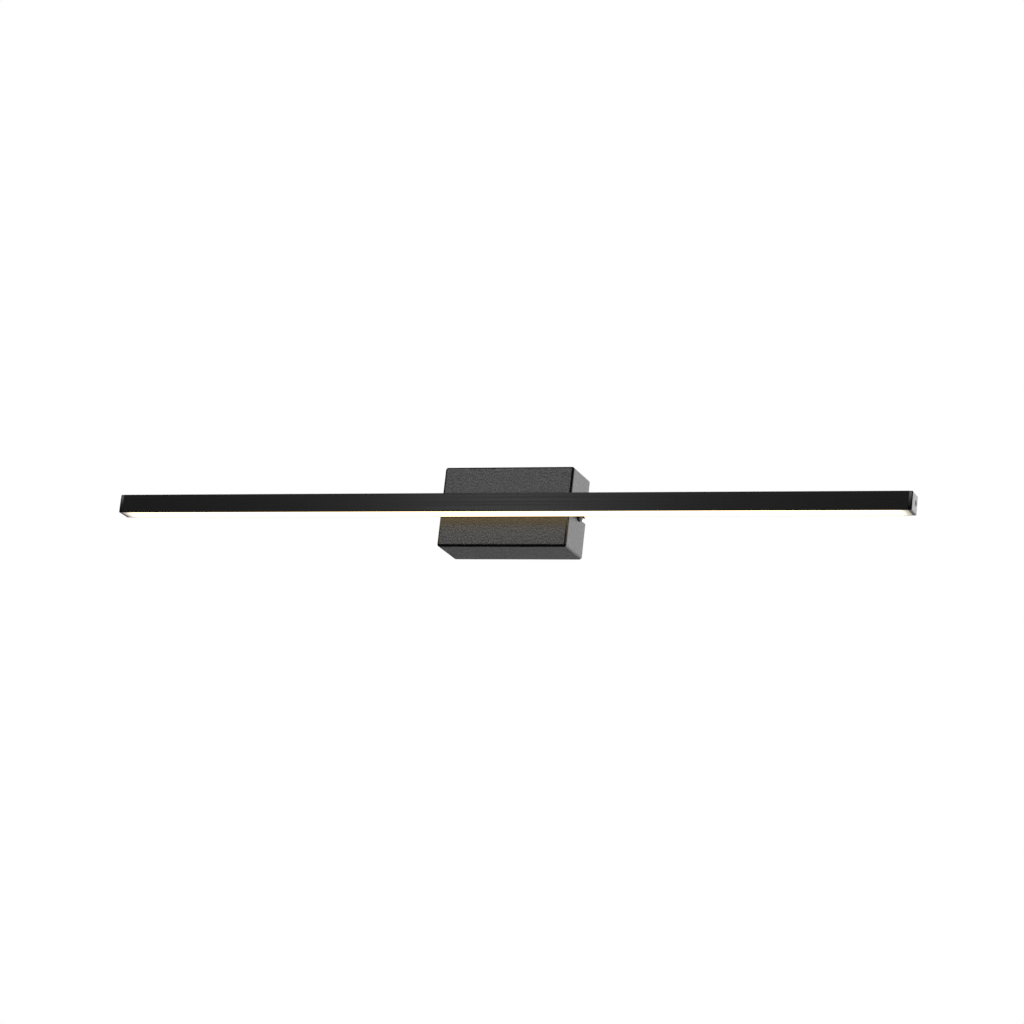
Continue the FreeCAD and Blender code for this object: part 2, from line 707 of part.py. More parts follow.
def lead_grommet():
    start = ("lead_hole_side", CANOPY_INSIDE, LEAD_HOLE_Z)
    flange = rod("grommet_flange", "y", start, "10.4", "1.2")
    sleeve = rod("grommet_sleeve", "-y", start, "8", "canopy_sheet+bar_wall")
    rear = ("lead_hole_side", f"{CANOPY_INSIDE}+1.2", LEAD_HOLE_Z)
    bore = rod("grommet_bore", "-y", rear, "5.2", "canopy_sheet+bar_wall+1.2")
    return label(cut("grommet_ring", fuse("grommet_blank", flange, sleeve), bore), "lead_grommet")


# ---- how the bar is bolted to the canopy's face

def fixing_places():
    return {"left": "-fixing_offset", "right": "fixing_offset"}


def cross_recess(name, axis, centre, span, depth):
    """Two crossed bars that cut a screw's recess, from a centre on the head's face inwards."""
    arms = []
    for step, across in enumerate("xyz".replace(axis[-1], "")):
        low = []
        high = []
        for own, formula in zip("xyz", centre):
            if own == axis[-1]:
                sunk = f"{formula}{'+' if axis.startswith('-') else '-'}{depth}"
                ends = (formula, sunk) if axis.startswith("-") else (sunk, formula)
            else:
                reach = span / 2 if own == across else 0.4
                ends = (f"{formula}-{reach}", f"{formula}+{reach}")
            low.append(ends[0])
            high.append(ends[1])
        arms.append(box(f"{name}_arm_{step}", low, high))
    return arms


def bar_fixing_screws():
    screws = []
    seat = f"({CANOPY_INSIDE}+{WASHER_SHEET})"
    for side, x in fixing_places().items():
        shank = rod(f"fixing_shank_{side}", "-y", (x, seat, FIXING_Z), "thread", "5.5")
        head = rod(f"fixing_head_{side}", "y", (x, seat, FIXING_Z), "8", SCREW_HEAD)
        arms = cross_recess(f"fixing_{side}", "y", (x, f"{seat}+{SCREW_HEAD}", FIXING_Z), 4.4, 1.6)
        screws.append(cut(f"fixing_screw_{side}", fuse(f"fixing_blank_{side}", shank, head), *arms))
    return label(several("fixing_screw_pair", screws), "bar_fixing_screws")


def bar_fixing_washers():
    washers = []
    for side, x in fixing_places().items():
        start = (x, CANOPY_INSIDE, FIXING_Z)
        ring = rod(f"fixing_washer_disc_{side}", "y", start, "9", WASHER_SHEET)
        hole = rod(f"fixing_washer_hole_{side}", "y", start, "thread_bore+0.3", WASHER_SHEET)
        washers.append(cut(f"fixing_washer_{side}", ring, hole))
    return label(several("fixing_washer_pair", washers), "bar_fixing_washers")


def bar_nut_plates():
    plates = []
    for side, x in fixing_places().items():
        low = (f"{x}-7", f"{BAR_BACK_INSIDE}-2.5", f"{FIXING_Z}-3.5")
        high = (f"{x}+7", BAR_BACK_INSIDE, f"{FIXING_Z}+3.5")
        bore = rod(f"nut_plate_bore_{side}", "-y", (x, BAR_BACK_INSIDE, FIXING_Z), "thread_bore", "2.5")
        plates.append(cut(f"nut_plate_{side}", box(f"nut_plate_blank_{side}", low, high), bore))
    return label(several("nut_plate_pair", plates), "bar_nut_plates")


# ---- the bar: sections are drawn on YZ and run along X

def section_point(y, z):
    """A point of the bar's section, from the bar's own centre."""
    return (f"{BAR_Y}+({y})", f"{BAR_Z}+({z})")


def bar_profile():
    body = new_body("bar_profile")
    half = "bar_size/2"
    inner = "(bar_size/2-bar_wall)"
    rib = "(bar_size/2-bar_wall-snap_rib)"
    outside = [(half, f"-{half}"), (half, half), (f"-{half}", half), (f"-{half}", f"-{half}")]
    left_groove = [
        (f"-{inner}", f"-{half}"), (f"-{inner}", "rib_low"), (f"-{rib}", "rib_low"),
        (f"-{rib}", "rib_high"), (f"-{inner}", "rib_high"), (f"-{inner}", "web_base"),
    ]
    right_groove = [(y.replace("-(", "(", 1), z) for y, z in reversed(left_groove)]
    walls = new_sketch(body, "YZ_Plane")
    outline(walls, [section_point(*point) for point in outside + left_groove + right_groove])
    outline(walls, [section_point(y, z) for y, z in (
        (f"-{inner}", "web_top"), (inner, "web_top"), (inner, inner), (f"-{inner}", inner))])
    extrusion = pad(body, walls, f"2*{PROFILE_HALF}", symmetric=True)

    port = new_sketch(body, "YZ_Plane")
    disc(port, *section_point("port_back", "port_up"), "2*port_radius")
    extrusion = pad(body, port, f"2*{PROFILE_HALF}", symmetric=True)

    front, back = number(f"{BAR_Y}-{half}"), number(f"{BAR_Y}+{half}")
    top, base = number(f"{BAR_Z}+{half}"), number(f"{BAR_Z}-{half}")
    fillet(
        body, extrusion,
        lambda a, b: along("x", a, b) and min(abs(a.y - front), abs(a.y - back)) < 1e-3
        and min(abs(a.z - top), abs(a.z - base)) < 1e-3,
        "bar_edge")

    port_bore = new_sketch(body, "YZ_Plane")
    disc(port_bore, *section_point("port_back", "port_up"), "3")
    pocket(body, port_bore, "bar_length", symmetric=True)

    back_holes = new_sketch(body, "XZ_Plane", "canopy_depth")
    for x in fixing_places().values():
        disc(back_holes, x, FIXING_Z, "clearance_bore")
    disc(back_holes, "lead_hole_side", LEAD_HOLE_Z, "8.1")
    pocket(body, back_holes, "bar_wall+1", backwards=True)

    web_hole = new_sketch(body, "XY_Plane", BAR_Z)
    disc(web_hole, "lead_hole_side", WEB_HOLE_Y, "7")
    pocket(body, web_hole, "2*bar_wall-web_base", backwards=False)
    return body


def diffuser():
    body = new_body("diffuser")
    half = "bar_size/2"
    edge = "(bar_size/2-bar_wall-diffuser_play)"
    notch = "(bar_size/2-bar_wall-snap_rib-diffuser_play)"
    leg = "(bar_size/2-bar_wall-diffuser_leg)"
    rise = "web_base-2.2"
    right = [
        (edge, f"-{half}"), (edge, "rib_low-diffuser_play"), (notch, "rib_low-diffuser_play"),
        (notch, "rib_high+diffuser_play"), (edge, "rib_high+diffuser_play"), (edge, rise),
        (leg, rise), (leg, f"diffuser_skin-{half}"),
    ]
    left = [(f"-{y}", z) for y, z in reversed(right)]
    section = new_sketch(body, "YZ_Plane")
    outline(section, [section_point(*point) for point in right + left])
    pad(body, section, f"2*{PROFILE_HALF}", symmetric=True)
    return body


def strip(name, thickness, top, width):
    """A flat strip under the web, as long as the light board."""
    reach = f"({PROFILE_HALF}-board_end)"
    blank = box(
        f"{name}_blank",
        (f"-{reach}", f"{BAR_Y}-({width})/2", f"{BAR_Z}+{top}-{thickness}"),
        (reach, f"{BAR_Y}+({width})/2", f"{BAR_Z}+{top}"))
    return blank


def thermal_tape():
    blank = strip("tape", "tape_thickness", "web_base", "board_width-1")
    hole = rod(
        "tape_hole", "-z",
        ("lead_hole_side", WEB_HOLE_Y, f"{BAR_Z}+web_base"), "7", "tape_thickness")
    return label(cut("tape_strip", blank, hole), "thermal_tape")


def led_board():
    return label(strip("board", "board_thickness", "web_base-tape_thickness", "board_width"), "led_board")


def led_chips():
    face = f"{BAR_Z}+web_base-tape_thickness-board_thickness"
    reach = number(f"{PROFILE_HALF}-board_end") - 3
    count = int(2 * reach / number("chip_pitch")) + 1
    chips = []
    for index in range(count):
        x = f"({index}-({count}-1)/2)*chip_pitch"
        chips.append(box(
            f"light_chip_{index}",
            (f"{x}-1.4", f"{BAR_Y}-1.75", f"{face}-0.7"),
            (f"{x}+1.4", f"{BAR_Y}+1.75", face)))
    return label(several("light_chip_row", chips), "led_chips")


def end_cap(side, sign):
    """A square plate with a tongue that fits in the profile's upper chamber."""
    body = new_body(f"end_cap_{side}")
    right = sign > 0
    half = "bar_size/2"
    plate = new_sketch(body, "YZ_Plane", PROFILE_HALF if right else f"-{PROFILE_HALF}")
    rectangle(plate, section_point(f"-{half}", f"-{half}"), section_point(half, half))
    block = pad(body, plate, "cap_thickness", backwards=not right)
    outer = sign * number("bar_length") / 2
    rounded = fillet(
        body, block,
        lambda a, b: along("z", a, b) and close(a.x, outer),
        "cap_round")
    fillet(
        body, rounded,
        lambda a, b: along("x", a, b) or (along("y", a, b) and close(a.x, outer)),
        "bar_edge")
    tongue = new_sketch(body, "YZ_Plane", PROFILE_HALF if right else f"-{PROFILE_HALF}")
    rectangle(
        tongue,
        section_point("-bar_size/2+bar_wall+0.2", "web_top+0.3"),
        section_point("-bar_size/2+bar_wall+5.5", "bar_size/2-bar_wall-0.2"))
    pad(body, tongue, "3", backwards=right)
    hole = new_sketch(body, "YZ_Plane", PROFILE_HALF if right else f"-{PROFILE_HALF}")
    disc(hole, *section_point("port_back", "port_up"), "3.2")
    pocket(body, hole, "2*cap_thickness", symmetric=True)

    sink_start = (f"{sign}*bar_length/2", *section_point("port_back", "port_up"))
    sink = cone(f"sink_{side}", "-x" if right else "x", sink_start, "6.2", "3.2", "1.6")
    blank = label(body, f"end_cap_blank_{side}")
    return label(cut(f"end_cap_cut_{side}", blank, sink), f"end_cap_{side}")


def end_cap_screws():
    """Countersunk screws, one through each end cap into the profile's screw port."""
    screws = []
    for side, sign, inward in (("left", -1, "x"), ("right", 1, "-x")):
        y, z = section_point("port_back", "port_up")
        face = f"{sign}*(bar_length/2-0.1)"
        head = cone(f"cap_head_{side}", inward, (face, y, z), "5.8", "2.9", "1.5")
        shank = rod(f"cap_shank_{side}", inward, (face, y, z), "2.9", "10")
        axis = "x" if sign > 0 else "-x"
        arms = cross_recess(f"cap_recess_{side}", axis, (face, y, z), 3.0, 1.0)
        screws.append(cut(f"cap_screw_{side}", fuse(f"cap_screw_blank_{side}", head, shank), *arms))
    return label(several("cap_screw_pair", screws), "end_cap_screws")


# ---- the thumb screws: each turns about X, so its half section is drawn on XZ and revolved

def set_on_side(body, side):
    """Stand a piece that was drawn along +X on the canopy's left or right side."""
    turn = 0 if side == "right" else 180
    body.Placement = Placement(Vector(), Rotation(Vector(0, 0, 1), turn))
    bind(body, "Placement.Base.y", "-screw_back")


def revolve(body, drawing):
    feature = body.newObject("PartDesign::Revolution", f"{body.Label}_revolution")
    feature.Profile = drawing
    feature.ReferenceAxis = (drawing, ["H_Axis"])
    feature.Angle = 360
    return changed(body, feature, grows=True)


def thumb_screw(side):
    body = new_body(f"thumb_screw_{side}")
    collar = "(canopy_width/2+washer_gap+washer_thickness+collar_gap)"
    knob = f"({collar}+neck_length)"
    end = f"({knob}+knob_length)"
    tip = f"({collar}-shank_length)"
    half_section = new_sketch(body, "XZ_Plane")
    outline(half_section, [
        (tip, "0"), (tip, "thread/2-0.5"), (f"{tip}+0.5", "thread/2"), (collar, "thread/2"),
        (collar, "neck_diameter/2"), (knob, "neck_diameter/2"),
        (knob, "knob_diameter/2-0.3"), (f"{knob}+0.3", "knob_diameter/2"),
        (f"{end}-0.3", "knob_diameter/2"), (end, "knob_diameter/2-0.3"), (end, "0"),
    ])
    revolve(body, half_section)
    set_on_side(body, side)
    return body


def thumb_washer(side):
    body = new_body(f"thumb_washer_{side}")
    inner_face = "(canopy_width/2+washer_gap)"
    outer_face = f"({inner_face}+washer_thickness)"
    rim = "washer_diameter/2"
    half_section = new_sketch(body, "XZ_Plane")
    outline(half_section, [
        (inner_face, "thread/2+0.2"), (inner_face, rim), (f"{outer_face}-0.3", rim),
        (outer_face, f"{rim}-0.3"), (outer_face, "thread/2+0.2"),
    ])
    revolve(body, half_section)
    set_on_side(body, side)
    return body


parts = [
    wall_bracket(),
    side_clinch_nuts(),
    cable_bushing(),
    bracket_earth_screw(),
    bracket_earth_washer(),
    canopy_cover(),
    weld_studs(),
    stud_nuts(),
    driver_foam_pad(),
    driver_case(),
    driver_lid(),
    driver_board(),
    driver_transformer(),
    driver_capacitors(),
    driver_chips(),
    terminal_block(),
    terminal_clamps(),
    terminal_screws(),
    *mains_leads(),
    earth_ring(),
    *led_leads(),
    lead_grommet(),
    bar_fixing_screws(),
    bar_fixing_washers(),
    bar_nut_plates(),
    bar_profile(),
    diffuser(),
    thermal_tape(),
    led_board(),
    led_chips(),
    end_cap("left", -1),
    end_cap("right", 1),
    end_cap_screws(),
    thumb_washer("left"),
    thumb_washer("right"),
    thumb_screw("left"),
    thumb_screw("right"),
]

doc.recompute()

failed = [item.Label for item in doc.Objects if "Invalid" in item.State or "Error" in item.State]
for part in parts:
    if part.Shape.isNull() or not part.Shape.isValid():
        failed.append(part.Label)
if failed:
    raise RuntimeError(f"failed: {failed}")

os.makedirs("parts", exist_ok=True)
for part in parts:
    part.Shape.exportStep(f"parts/{part.Label}.step")
    bounds = part.Shape.BoundBox
    print(
        f"{part.Label}: {len(part.Shape.Solids)} solids, {part.Shape.Volume:.0f} mm3,",
        f"x {bounds.XMin:.1f}..{bounds.XMax:.1f}, y {bounds.YMin:.1f}..{bounds.YMax:.1f},",
        f"z {bounds.ZMin:.1f}..{bounds.ZMax:.1f}")
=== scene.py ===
import json
import math

import bmesh
import bpy
from bpy.props import FloatProperty, FloatVectorProperty, IntProperty, PointerProperty
from mathutils import Matrix, Vector


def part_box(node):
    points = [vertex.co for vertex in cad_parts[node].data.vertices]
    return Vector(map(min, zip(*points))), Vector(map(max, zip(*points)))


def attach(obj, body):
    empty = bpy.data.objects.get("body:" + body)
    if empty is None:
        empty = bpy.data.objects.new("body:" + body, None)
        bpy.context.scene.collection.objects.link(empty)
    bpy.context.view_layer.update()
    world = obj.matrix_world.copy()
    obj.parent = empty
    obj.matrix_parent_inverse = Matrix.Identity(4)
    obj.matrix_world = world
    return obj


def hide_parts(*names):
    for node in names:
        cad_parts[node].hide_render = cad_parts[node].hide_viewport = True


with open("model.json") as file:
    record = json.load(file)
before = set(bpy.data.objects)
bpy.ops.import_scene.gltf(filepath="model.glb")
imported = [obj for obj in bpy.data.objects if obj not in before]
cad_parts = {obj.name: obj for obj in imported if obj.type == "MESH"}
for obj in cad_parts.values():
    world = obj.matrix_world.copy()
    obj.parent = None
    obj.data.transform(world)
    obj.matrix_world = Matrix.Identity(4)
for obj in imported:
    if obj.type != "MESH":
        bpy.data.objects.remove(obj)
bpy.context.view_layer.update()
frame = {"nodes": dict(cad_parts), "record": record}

bl_info = {
    "name": "Vanity Light Bar",
    "version": (1, 0, 0),
    "blender": (4, 5, 0),
    "location": "3D View > Sidebar > Light Bar",
    "description": "Dresses the packed light bar: finishes, turned and moulded pieces, and a plain studio",
    "category": "Object",
}

MM = 0.001
SIDES = {"left": -1, "right": 1}


# ---- sizes and colours that a user would change

def linear(code):
    """Linear red, green and blue from an sRGB hex code."""
    channels = [int(code[start:start + 2], 16) / 255 for start in (0, 2, 4)]
    return tuple(c / 12.92 if c <= 0.04045 else ((c + 0.055) / 1.055) ** 2.4 for c in channels)


def colour(name, code, description):
    """A colour setting whose default is an sRGB hex code."""
    return FloatVectorProperty(
        name=name, description=description, subtype="COLOR", size=3, min=0, max=1, default=linear(code))


def length(name, millimetres, description):
    """A length setting whose default is given in millimetres."""
    return FloatProperty(
        name=name, description=description, subtype="DISTANCE", unit="LENGTH", min=0, precision=5,
        default=millimetres * MM)


class FinishColours(bpy.types.PropertyGroup):
    powder_coat: colour("Powder coat", "1a1a1a", "Canopy's sand-texture powder coat")
    anodised: colour("Anodised black", "0a0a0a", "Bar's dyed oxide layer")
    cap_paint: colour("Cap paint", "0a0a0a", "End caps' satin paint")
    diffuser: colour("Diffuser", "f4f0e4", "Opal diffuser when it is off")
    lamp: colour("Lamp light", "ffe1ac", "Light that leaves the diffuser")
    zinc: colour("Zinc plate", "cfd2d6", "Bright zinc-plated steel")
    # The nickel colour's warm tint is partly a painted reflection of the lit diffuser's warm glow.
    nickel: colour("Nickel plate", "c9b496", "Thumb screws' warm nickel plate")
    brass: colour("Brass", "c9a25a", "Clamps and ring terminal")


class StrengthSettings(bpy.types.PropertyGroup):
    lamp: FloatProperty(name="Lamp", description="Brightness of the lit diffuser", min=0, default=2.9)
    key: FloatProperty(
        name="Key light", description="Tall soft box at the front left, in watts", min=0, default=2.6)
    front: FloatProperty(name="Front", description="Sky's soft patch at the front left", min=0, default=2.6)
    backdrop: FloatProperty(
        name="Backdrop", description="Sky's wide patch behind the bar", min=0, default=2.0)
    low: FloatProperty(name="Low", description="Sky's dim patch low at the rear left", min=0, default=0.36)
    fill: FloatProperty(name="Fill", description="Light from everywhere else", min=0, default=0.02)


class DetailSizes(bpy.types.PropertyGroup):
    powder_grain: length(
        "Powder grain", 2.0, "Grain of the canopy's coating, drawn coarser than the real 0.4 mm")
    die_line: length(
        "Die line pitch", 2.2, "Spacing of the bar's die lines, drawn coarser than the real 0.3 mm")
    thread_pitch: length("Thread pitch", 0.7, "M4 coarse thread")
    knurl_count: IntProperty(
        name="Knurls", description="Ridges round a thumb screw's head", min=6, default=36)
    knurl_depth: length("Knurl depth", 0.22, "Depth of the thumb screw's ridges")
    cap_crown: length("Cap crown", 0.30, "How far an end cap's faces fall away towards their edges")


class StudioSettings(bpy.types.PropertyGroup):
    azimuth: FloatProperty(name="Azimuth", description="Camera's turn to the right", subtype="ANGLE",
                           default=math.radians(22.848))
    elevation: FloatProperty(name="Elevation", description="How far the camera looks up", subtype="ANGLE",
                             default=math.radians(15.9))
    roll: FloatProperty(name="Roll", description="Camera's tilt about its own axis", subtype="ANGLE",
                        default=math.radians(6.411))
    distance: FloatProperty(name="Distance", description="Camera from its aim", subtype="DISTANCE",
                            unit="LENGTH", default=3.2413)
    lens: FloatProperty(name="Lens", description="Focal length in millimetres", default=121.65)
    floor_drop: FloatProperty(name="Floor", description="Floor below the bar", subtype="DISTANCE",
                              unit="LENGTH", default=3.2)


# ---- finishes

def add(tree, kind, inputs=None, stops=None, **settings):
    """Add a node, set it up, and give each of its inputs a value or another node's output."""
    node = tree.nodes.new(kind)
    for name, value in settings.items():
        setattr(node, name, value)
    for place, value in (inputs or {}).items():
        if isinstance(value, bpy.types.NodeSocket):
            tree.links.new(value, node.inputs[place])
        else:
            node.inputs[place].default_value = value
    for index, (position, shade) in enumerate(stops or []):
        ramp = node.color_ramp.elements
        element = ramp[index] if index < len(ramp) else ramp.new(position)
        element.position = position
        element.color = (*shade, 1)
    return node


def new_material(name):
    material = bpy.data.materials.new(name)
    material.use_nodes = True
    material.node_tree.nodes.clear()
    return material, material.node_tree


def shaded(base, factor):
    return tuple(min(1, channel * factor) for channel in base)


def finished(tree, shader):
    """Join the surface shader to the material's output."""
    add(tree, "ShaderNodeOutputMaterial", {"Surface": shader.outputs[0]})


def grained(name, base, grain, depth, roughness, spread=0.12, metallic=0.0, stretch=(1, 1, 1), ior=1.5,
            specular=0.5, glow=0.0):
    """A finish whose shade, gloss and relief all vary with one grain of a real size.

    grain and depth are millimetres, spread is how far the shade varies either way, and stretch
    squeezes the grain along X, Y and Z."""
    material, tree = new_material(name)
    place = add(tree, "ShaderNodeTexCoord")
    mapped = add(tree, "ShaderNodeMapping", {"Vector": place.outputs["Object"], "Scale": stretch})
    noise = add(tree, "ShaderNodeTexNoise", {
        "Vector": mapped.outputs[0], "Scale": 1 / (grain * MM), "Detail": 3.0, "Roughness": 0.6})
    shade = add(tree, "ShaderNodeValToRGB", {"Fac": noise.outputs["Fac"]}, stops=[
        (0.3, shaded(base, 1 - spread)), (0.7, shaded(base, 1 + spread))])
    gloss = add(tree, "ShaderNodeMapRange", {
        "Value": noise.outputs["Fac"], "From Min": 0.3, "From Max": 0.7,
        "To Min": max(0.05, roughness - 0.05), "To Max": min(1.0, roughness + 0.05)})
    relief = add(tree, "ShaderNodeBump", {
        "Height": noise.outputs["Fac"], "Strength": 1.0, "Distance": depth * MM})
    shader = add(tree, "ShaderNodeBsdfPrincipled", {
        "Base Color": shade.outputs["Color"], "Roughness": gloss.outputs["Result"],
        "Normal": relief.outputs["Normal"], "Metallic": metallic, "IOR": ior,
        "Specular IOR Level": specular, "Emission Color": (*base, 1),
        "Emission Strength": glow})
    finished(tree, shader)
    return material


def powder_coat(colours, sizes):
    # Polyester powder coat with a fine sand texture: the eye gets a soft, speckled dark grey.
    return grained(
        "black_powder_coat", colours.powder_coat, sizes.powder_grain / MM, 0.30, 0.36, 0.35, ior=1.55)


def anodised_black(colours, sizes):
    # Extruded aluminium, black anodised: satin, with faint die lines that run the bar's whole length.
    # The low specular level keeps its front as dark as it looks under the soft box.
    return grained(
        "black_anodised", colours.anodised, sizes.die_line / MM, 0.02, 0.27, 0.5,
        stretch=(0.004, 1, 1), specular=0.15)


def cap_paint(colours):
    # Zinc die casting under satin black paint: smoother and glossier than the bar, with faint orange peel.
    return grained("satin_black_paint", colours.cap_paint, 2.5, 0.003, 0.16, 0.08)


def zinc_plate(colours):
    # Bright zinc plate on rolled steel: pale metal with faint streaks from rolling.
    return grained(
        "bright_zinc_plate", colours.zinc, 1.4, 0.002, 0.3, 0.06, metallic=1.0, stretch=(0.1, 1, 1))


def nickel_plate(colours):
    # Nickel over turned brass: a fairly bright metal. Its warm tint is partly the nickel's own and partly a
    # painted reflection of the lit diffuser's warm glow.
    return grained("nickel_plate_painted_glow", colours.nickel, 0.9, 0.002, 0.28, 0.08, metallic=1.0)


def brass_plain(colours):
    # Drawn brass, unlacquered: yellow metal with a slight tarnish.
    return grained("drawn_brass", colours.brass, 1.0, 0.003, 0.32, 0.12, metallic=1.0)


def opal_polycarbonate(colours, strength):
    # Co-extruded opal polycarbonate, lit from behind: even and warm, and dimmer near both ends,
    # where the light board stops short. Faint flow lines run along it.
    material, tree = new_material("opal_polycarbonate")
    place = add(tree, "ShaderNodeTexCoord")
    mapped = add(tree, "ShaderNodeMapping", {"Vector": place.outputs["Object"], "Scale": (0.01, 1, 1)})
    flow = add(tree, "ShaderNodeTexNoise", {
        "Vector": mapped.outputs[0], "Scale": 1 / (1.5 * MM), "Detail": 2.0})
    shade = add(tree, "ShaderNodeValToRGB", {"Fac": flow.outputs["Fac"]}, stops=[
        (0.3, shaded(colours.diffuser, 0.96)), (0.7, colours.diffuser)])
    split = add(tree, "ShaderNodeSeparateXYZ", {"Vector": place.outputs["Object"]})
    reach = add(tree, "ShaderNodeMath", {0: split.outputs["X"]}, operation="ABSOLUTE")
    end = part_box("diffuser")[1].x
    fade = add(tree, "ShaderNodeMapRange", {
        "Value": reach.outputs[0], "From Min": end - 14 * MM, "From Max": end,
        "To Min": 0.0, "To Max": 1.0}, interpolation_type="SMOOTHSTEP")
    light = add(tree, "ShaderNodeValToRGB", {"Fac": fade.outputs["Result"]}, stops=[
        (0.0, colours.lamp), (0.6, shaded(linear("fff3e0"), 0.4)), (1.0, shaded(linear("fff3e0"), 0.12))])
    shader = add(tree, "ShaderNodeBsdfPrincipled", {
        "Base Color": shade.outputs["Color"], "Roughness": 0.5, "IOR": 1.585,
        "Emission Color": light.outputs["Color"], "Emission Strength": strength.lamp})
    finished(tree, shader)
    return material


def earth_lead_cover():
    # Earth lead's insulation: green with yellow bands, as the eye knows it.
    material, tree = new_material("green_and_yellow_insulation")
    place = add(tree, "ShaderNodeTexCoord")
    bands = add(tree, "ShaderNodeTexWave", {
        "Vector": place.outputs["Object"], "Scale": 1 / (20 * MM), "Distortion": 0.2},
        bands_direction="DIAGONAL")
    shade = add(tree, "ShaderNodeValToRGB", {"Fac": bands.outputs["Fac"]}, stops=[
        (0.45, linear("1f7a36")), (0.55, linear("e3c421"))])
    grain = add(tree, "ShaderNodeTexNoise", {"Vector": place.outputs["Object"], "Scale": 1 / (0.8 * MM)})
    relief = add(tree, "ShaderNodeBump", {"Height": grain.outputs["Fac"], "Distance": 0.004 * MM})
    finished(tree, add(tree, "ShaderNodeBsdfPrincipled", {
        "Base Color": shade.outputs["Color"], "Roughness": 0.45, "Normal": relief.outputs["Normal"]}))
    return material


def foam_tape():
    # Closed-cell foam: matt grey with small round cells.
    material, tree = new_material("closed_cell_foam")
    place = add(tree, "ShaderNodeTexCoord")
    cells = add(tree, "ShaderNodeTexVoronoi", {"Vector": place.outputs["Object"], "Scale": 1 / (0.9 * MM)})
    shade = add(tree, "ShaderNodeValToRGB", {"Fac": cells.outputs["Distance"]}, stops=[
        (0.1, linear("5d5d60")), (0.6, linear("8a8a8d"))])
    relief = add(tree, "ShaderNodeBump", {"Height": cells.outputs["Distance"], "Distance": 0.2 * MM})
    finished(tree, add(tree, "ShaderNodeBsdfPrincipled", {
        "Base Color": shade.outputs["Color"], "Roughness": 0.9, "Normal": relief.outputs["Normal"]}))
    return material


def circuit_board():
    # Glass-fibre board under green solder mask: glossy green over a fine woven grid.
    material, tree = new_material("green_solder_mask")
    place = add(tree, "ShaderNodeTexCoord")
    weave = add(tree, "ShaderNodeTexBrick", {
        "Vector": place.outputs["Object"], "Scale": 1 / (2.5 * MM), "Color1": (*linear("1f5a33"), 1),
        "Color2": (*linear("246a3c"), 1), "Mortar": (*linear("2f8049"), 1), "Mortar Size": 0.06})
    relief = add(tree, "ShaderNodeBump", {"Height": weave.outputs["Fac"], "Distance": 0.03 * MM})
    finished(tree, add(tree, "ShaderNodeBsdfPrincipled", {
        "Base Color": weave.outputs["Color"], "Roughness": 0.3, "Normal": relief.outputs["Normal"]}))
    return material


def phosphor(colours, strength):
    # Light-emitting chips: yellow phosphor under clear silicone, brightest at the middle.
    material, tree = new_material("yellow_phosphor")
    place = add(tree, "ShaderNodeTexCoord")
    grain = add(tree, "ShaderNodeTexNoise", {"Vector": place.outputs["Object"], "Scale": 1 / (0.5 * MM)})
    shade = add(tree, "ShaderNodeValToRGB", {"Fac": grain.outputs["Fac"]}, stops=[
        (0.3, linear("e8b93a")), (0.7, linear("f6d873"))])
    finished(tree, add(tree, "ShaderNodeBsdfPrincipled", {
        "Base Color": shade.outputs["Color"], "Roughness": 0.25, "IOR": 1.41,
        "Emission Color": (*colours.lamp, 1), "Emission Strength": strength.lamp}))
    return material


def make_finishes():
    """One material for each of the record's finishes."""
    scene = bpy.context.scene
    colours, sizes, strength = scene.bar_colours, scene.bar_details, scene.bar_strengths
    return {
        "black_powder_coat": powder_coat(colours, sizes),
        "black_anodised": anodised_black(colours, sizes),
        "black_cap": cap_paint(colours),
        # Black zinc plate: a dark, slightly mottled metal.
        "black_screw": grained("black_zinc_plate", linear("1f1f20"), 0.8, 0.003, 0.4, 0.15, metallic=1.0),
        "opal_diffuser": opal_polycarbonate(colours, strength),
        "zinc_steel": zinc_plate(colours),
        "plated_screw": nickel_plate(colours),
        # Green dyed zinc plate, the usual sign of an earth screw.
        "green_steel": grained("green_zinc_plate", linear("2f8f4a"), 0.8, 0.003, 0.35, 0.12, metallic=1.0),
        # Moulded nylon: dull black with a fine spark-eroded grain.
        "black_nylon": grained(
            "moulded_nylon", linear("101011"), 0.7, 0.012, 0.55, 0.12, ior=1.53, specular=0.3),
        # Moulded rubber: matt black.
        "black_rubber": grained("moulded_rubber", linear("1c1c1c"), 0.9, 0.015, 0.7, 0.12, ior=1.52),
        "grey_foam": foam_tape(),
        # Moulded polycarbonate: white with a fine grain.
        "white_plastic": grained("white_polycarbonate", linear("e4e4df"), 0.8, 0.008, 0.42, 0.03, ior=1.585),
        "green_board": circuit_board(),
        # Ferrite and moulded packages: dark grey, slightly sparkling.
        "black_core": grained("sintered_ferrite", linear("2b2b2d"), 0.5, 0.01, 0.55, 0.2),
        # Deep-drawn aluminium cans: pale metal with faint upright draw lines.
        "can_aluminium": grained(
            "drawn_aluminium", linear("cfd0d2"), 0.8, 0.003, 0.3, 0.06, metallic=1.0, stretch=(1, 0.05, 1)),
        "brass": brass_plain(colours),
        # Extruded insulation: smooth, slightly glossy and soft-looking.
        "brown_lead": grained("brown_insulation", linear("6b4327"), 1.0, 0.004, 0.42, 0.06),
        "blue_lead": grained("blue_insulation", linear("2a5fc0"), 1.0, 0.004, 0.42, 0.06),
        "green_lead": earth_lead_cover(),
        "red_lead": grained("red_silicone", linear("b8201e"), 1.0, 0.004, 0.5, 0.06),
        "black_lead": grained("black_silicone", linear("1e1e1f"), 1.0, 0.004, 0.5, 0.1),
        # Thermal tape: matt white filled silicone.
        "white_tape": grained("thermal_tape", linear("d9d9d6"), 0.8, 0.01, 0.75, 0.04),
        # White solder mask on aluminium: smooth, bright and satin.
        "white_board": grained("white_solder_mask", linear("f0f0ec"), 1.2, 0.004, 0.4, 0.03),
        "light_chip": phosphor(colours, strength),
    }


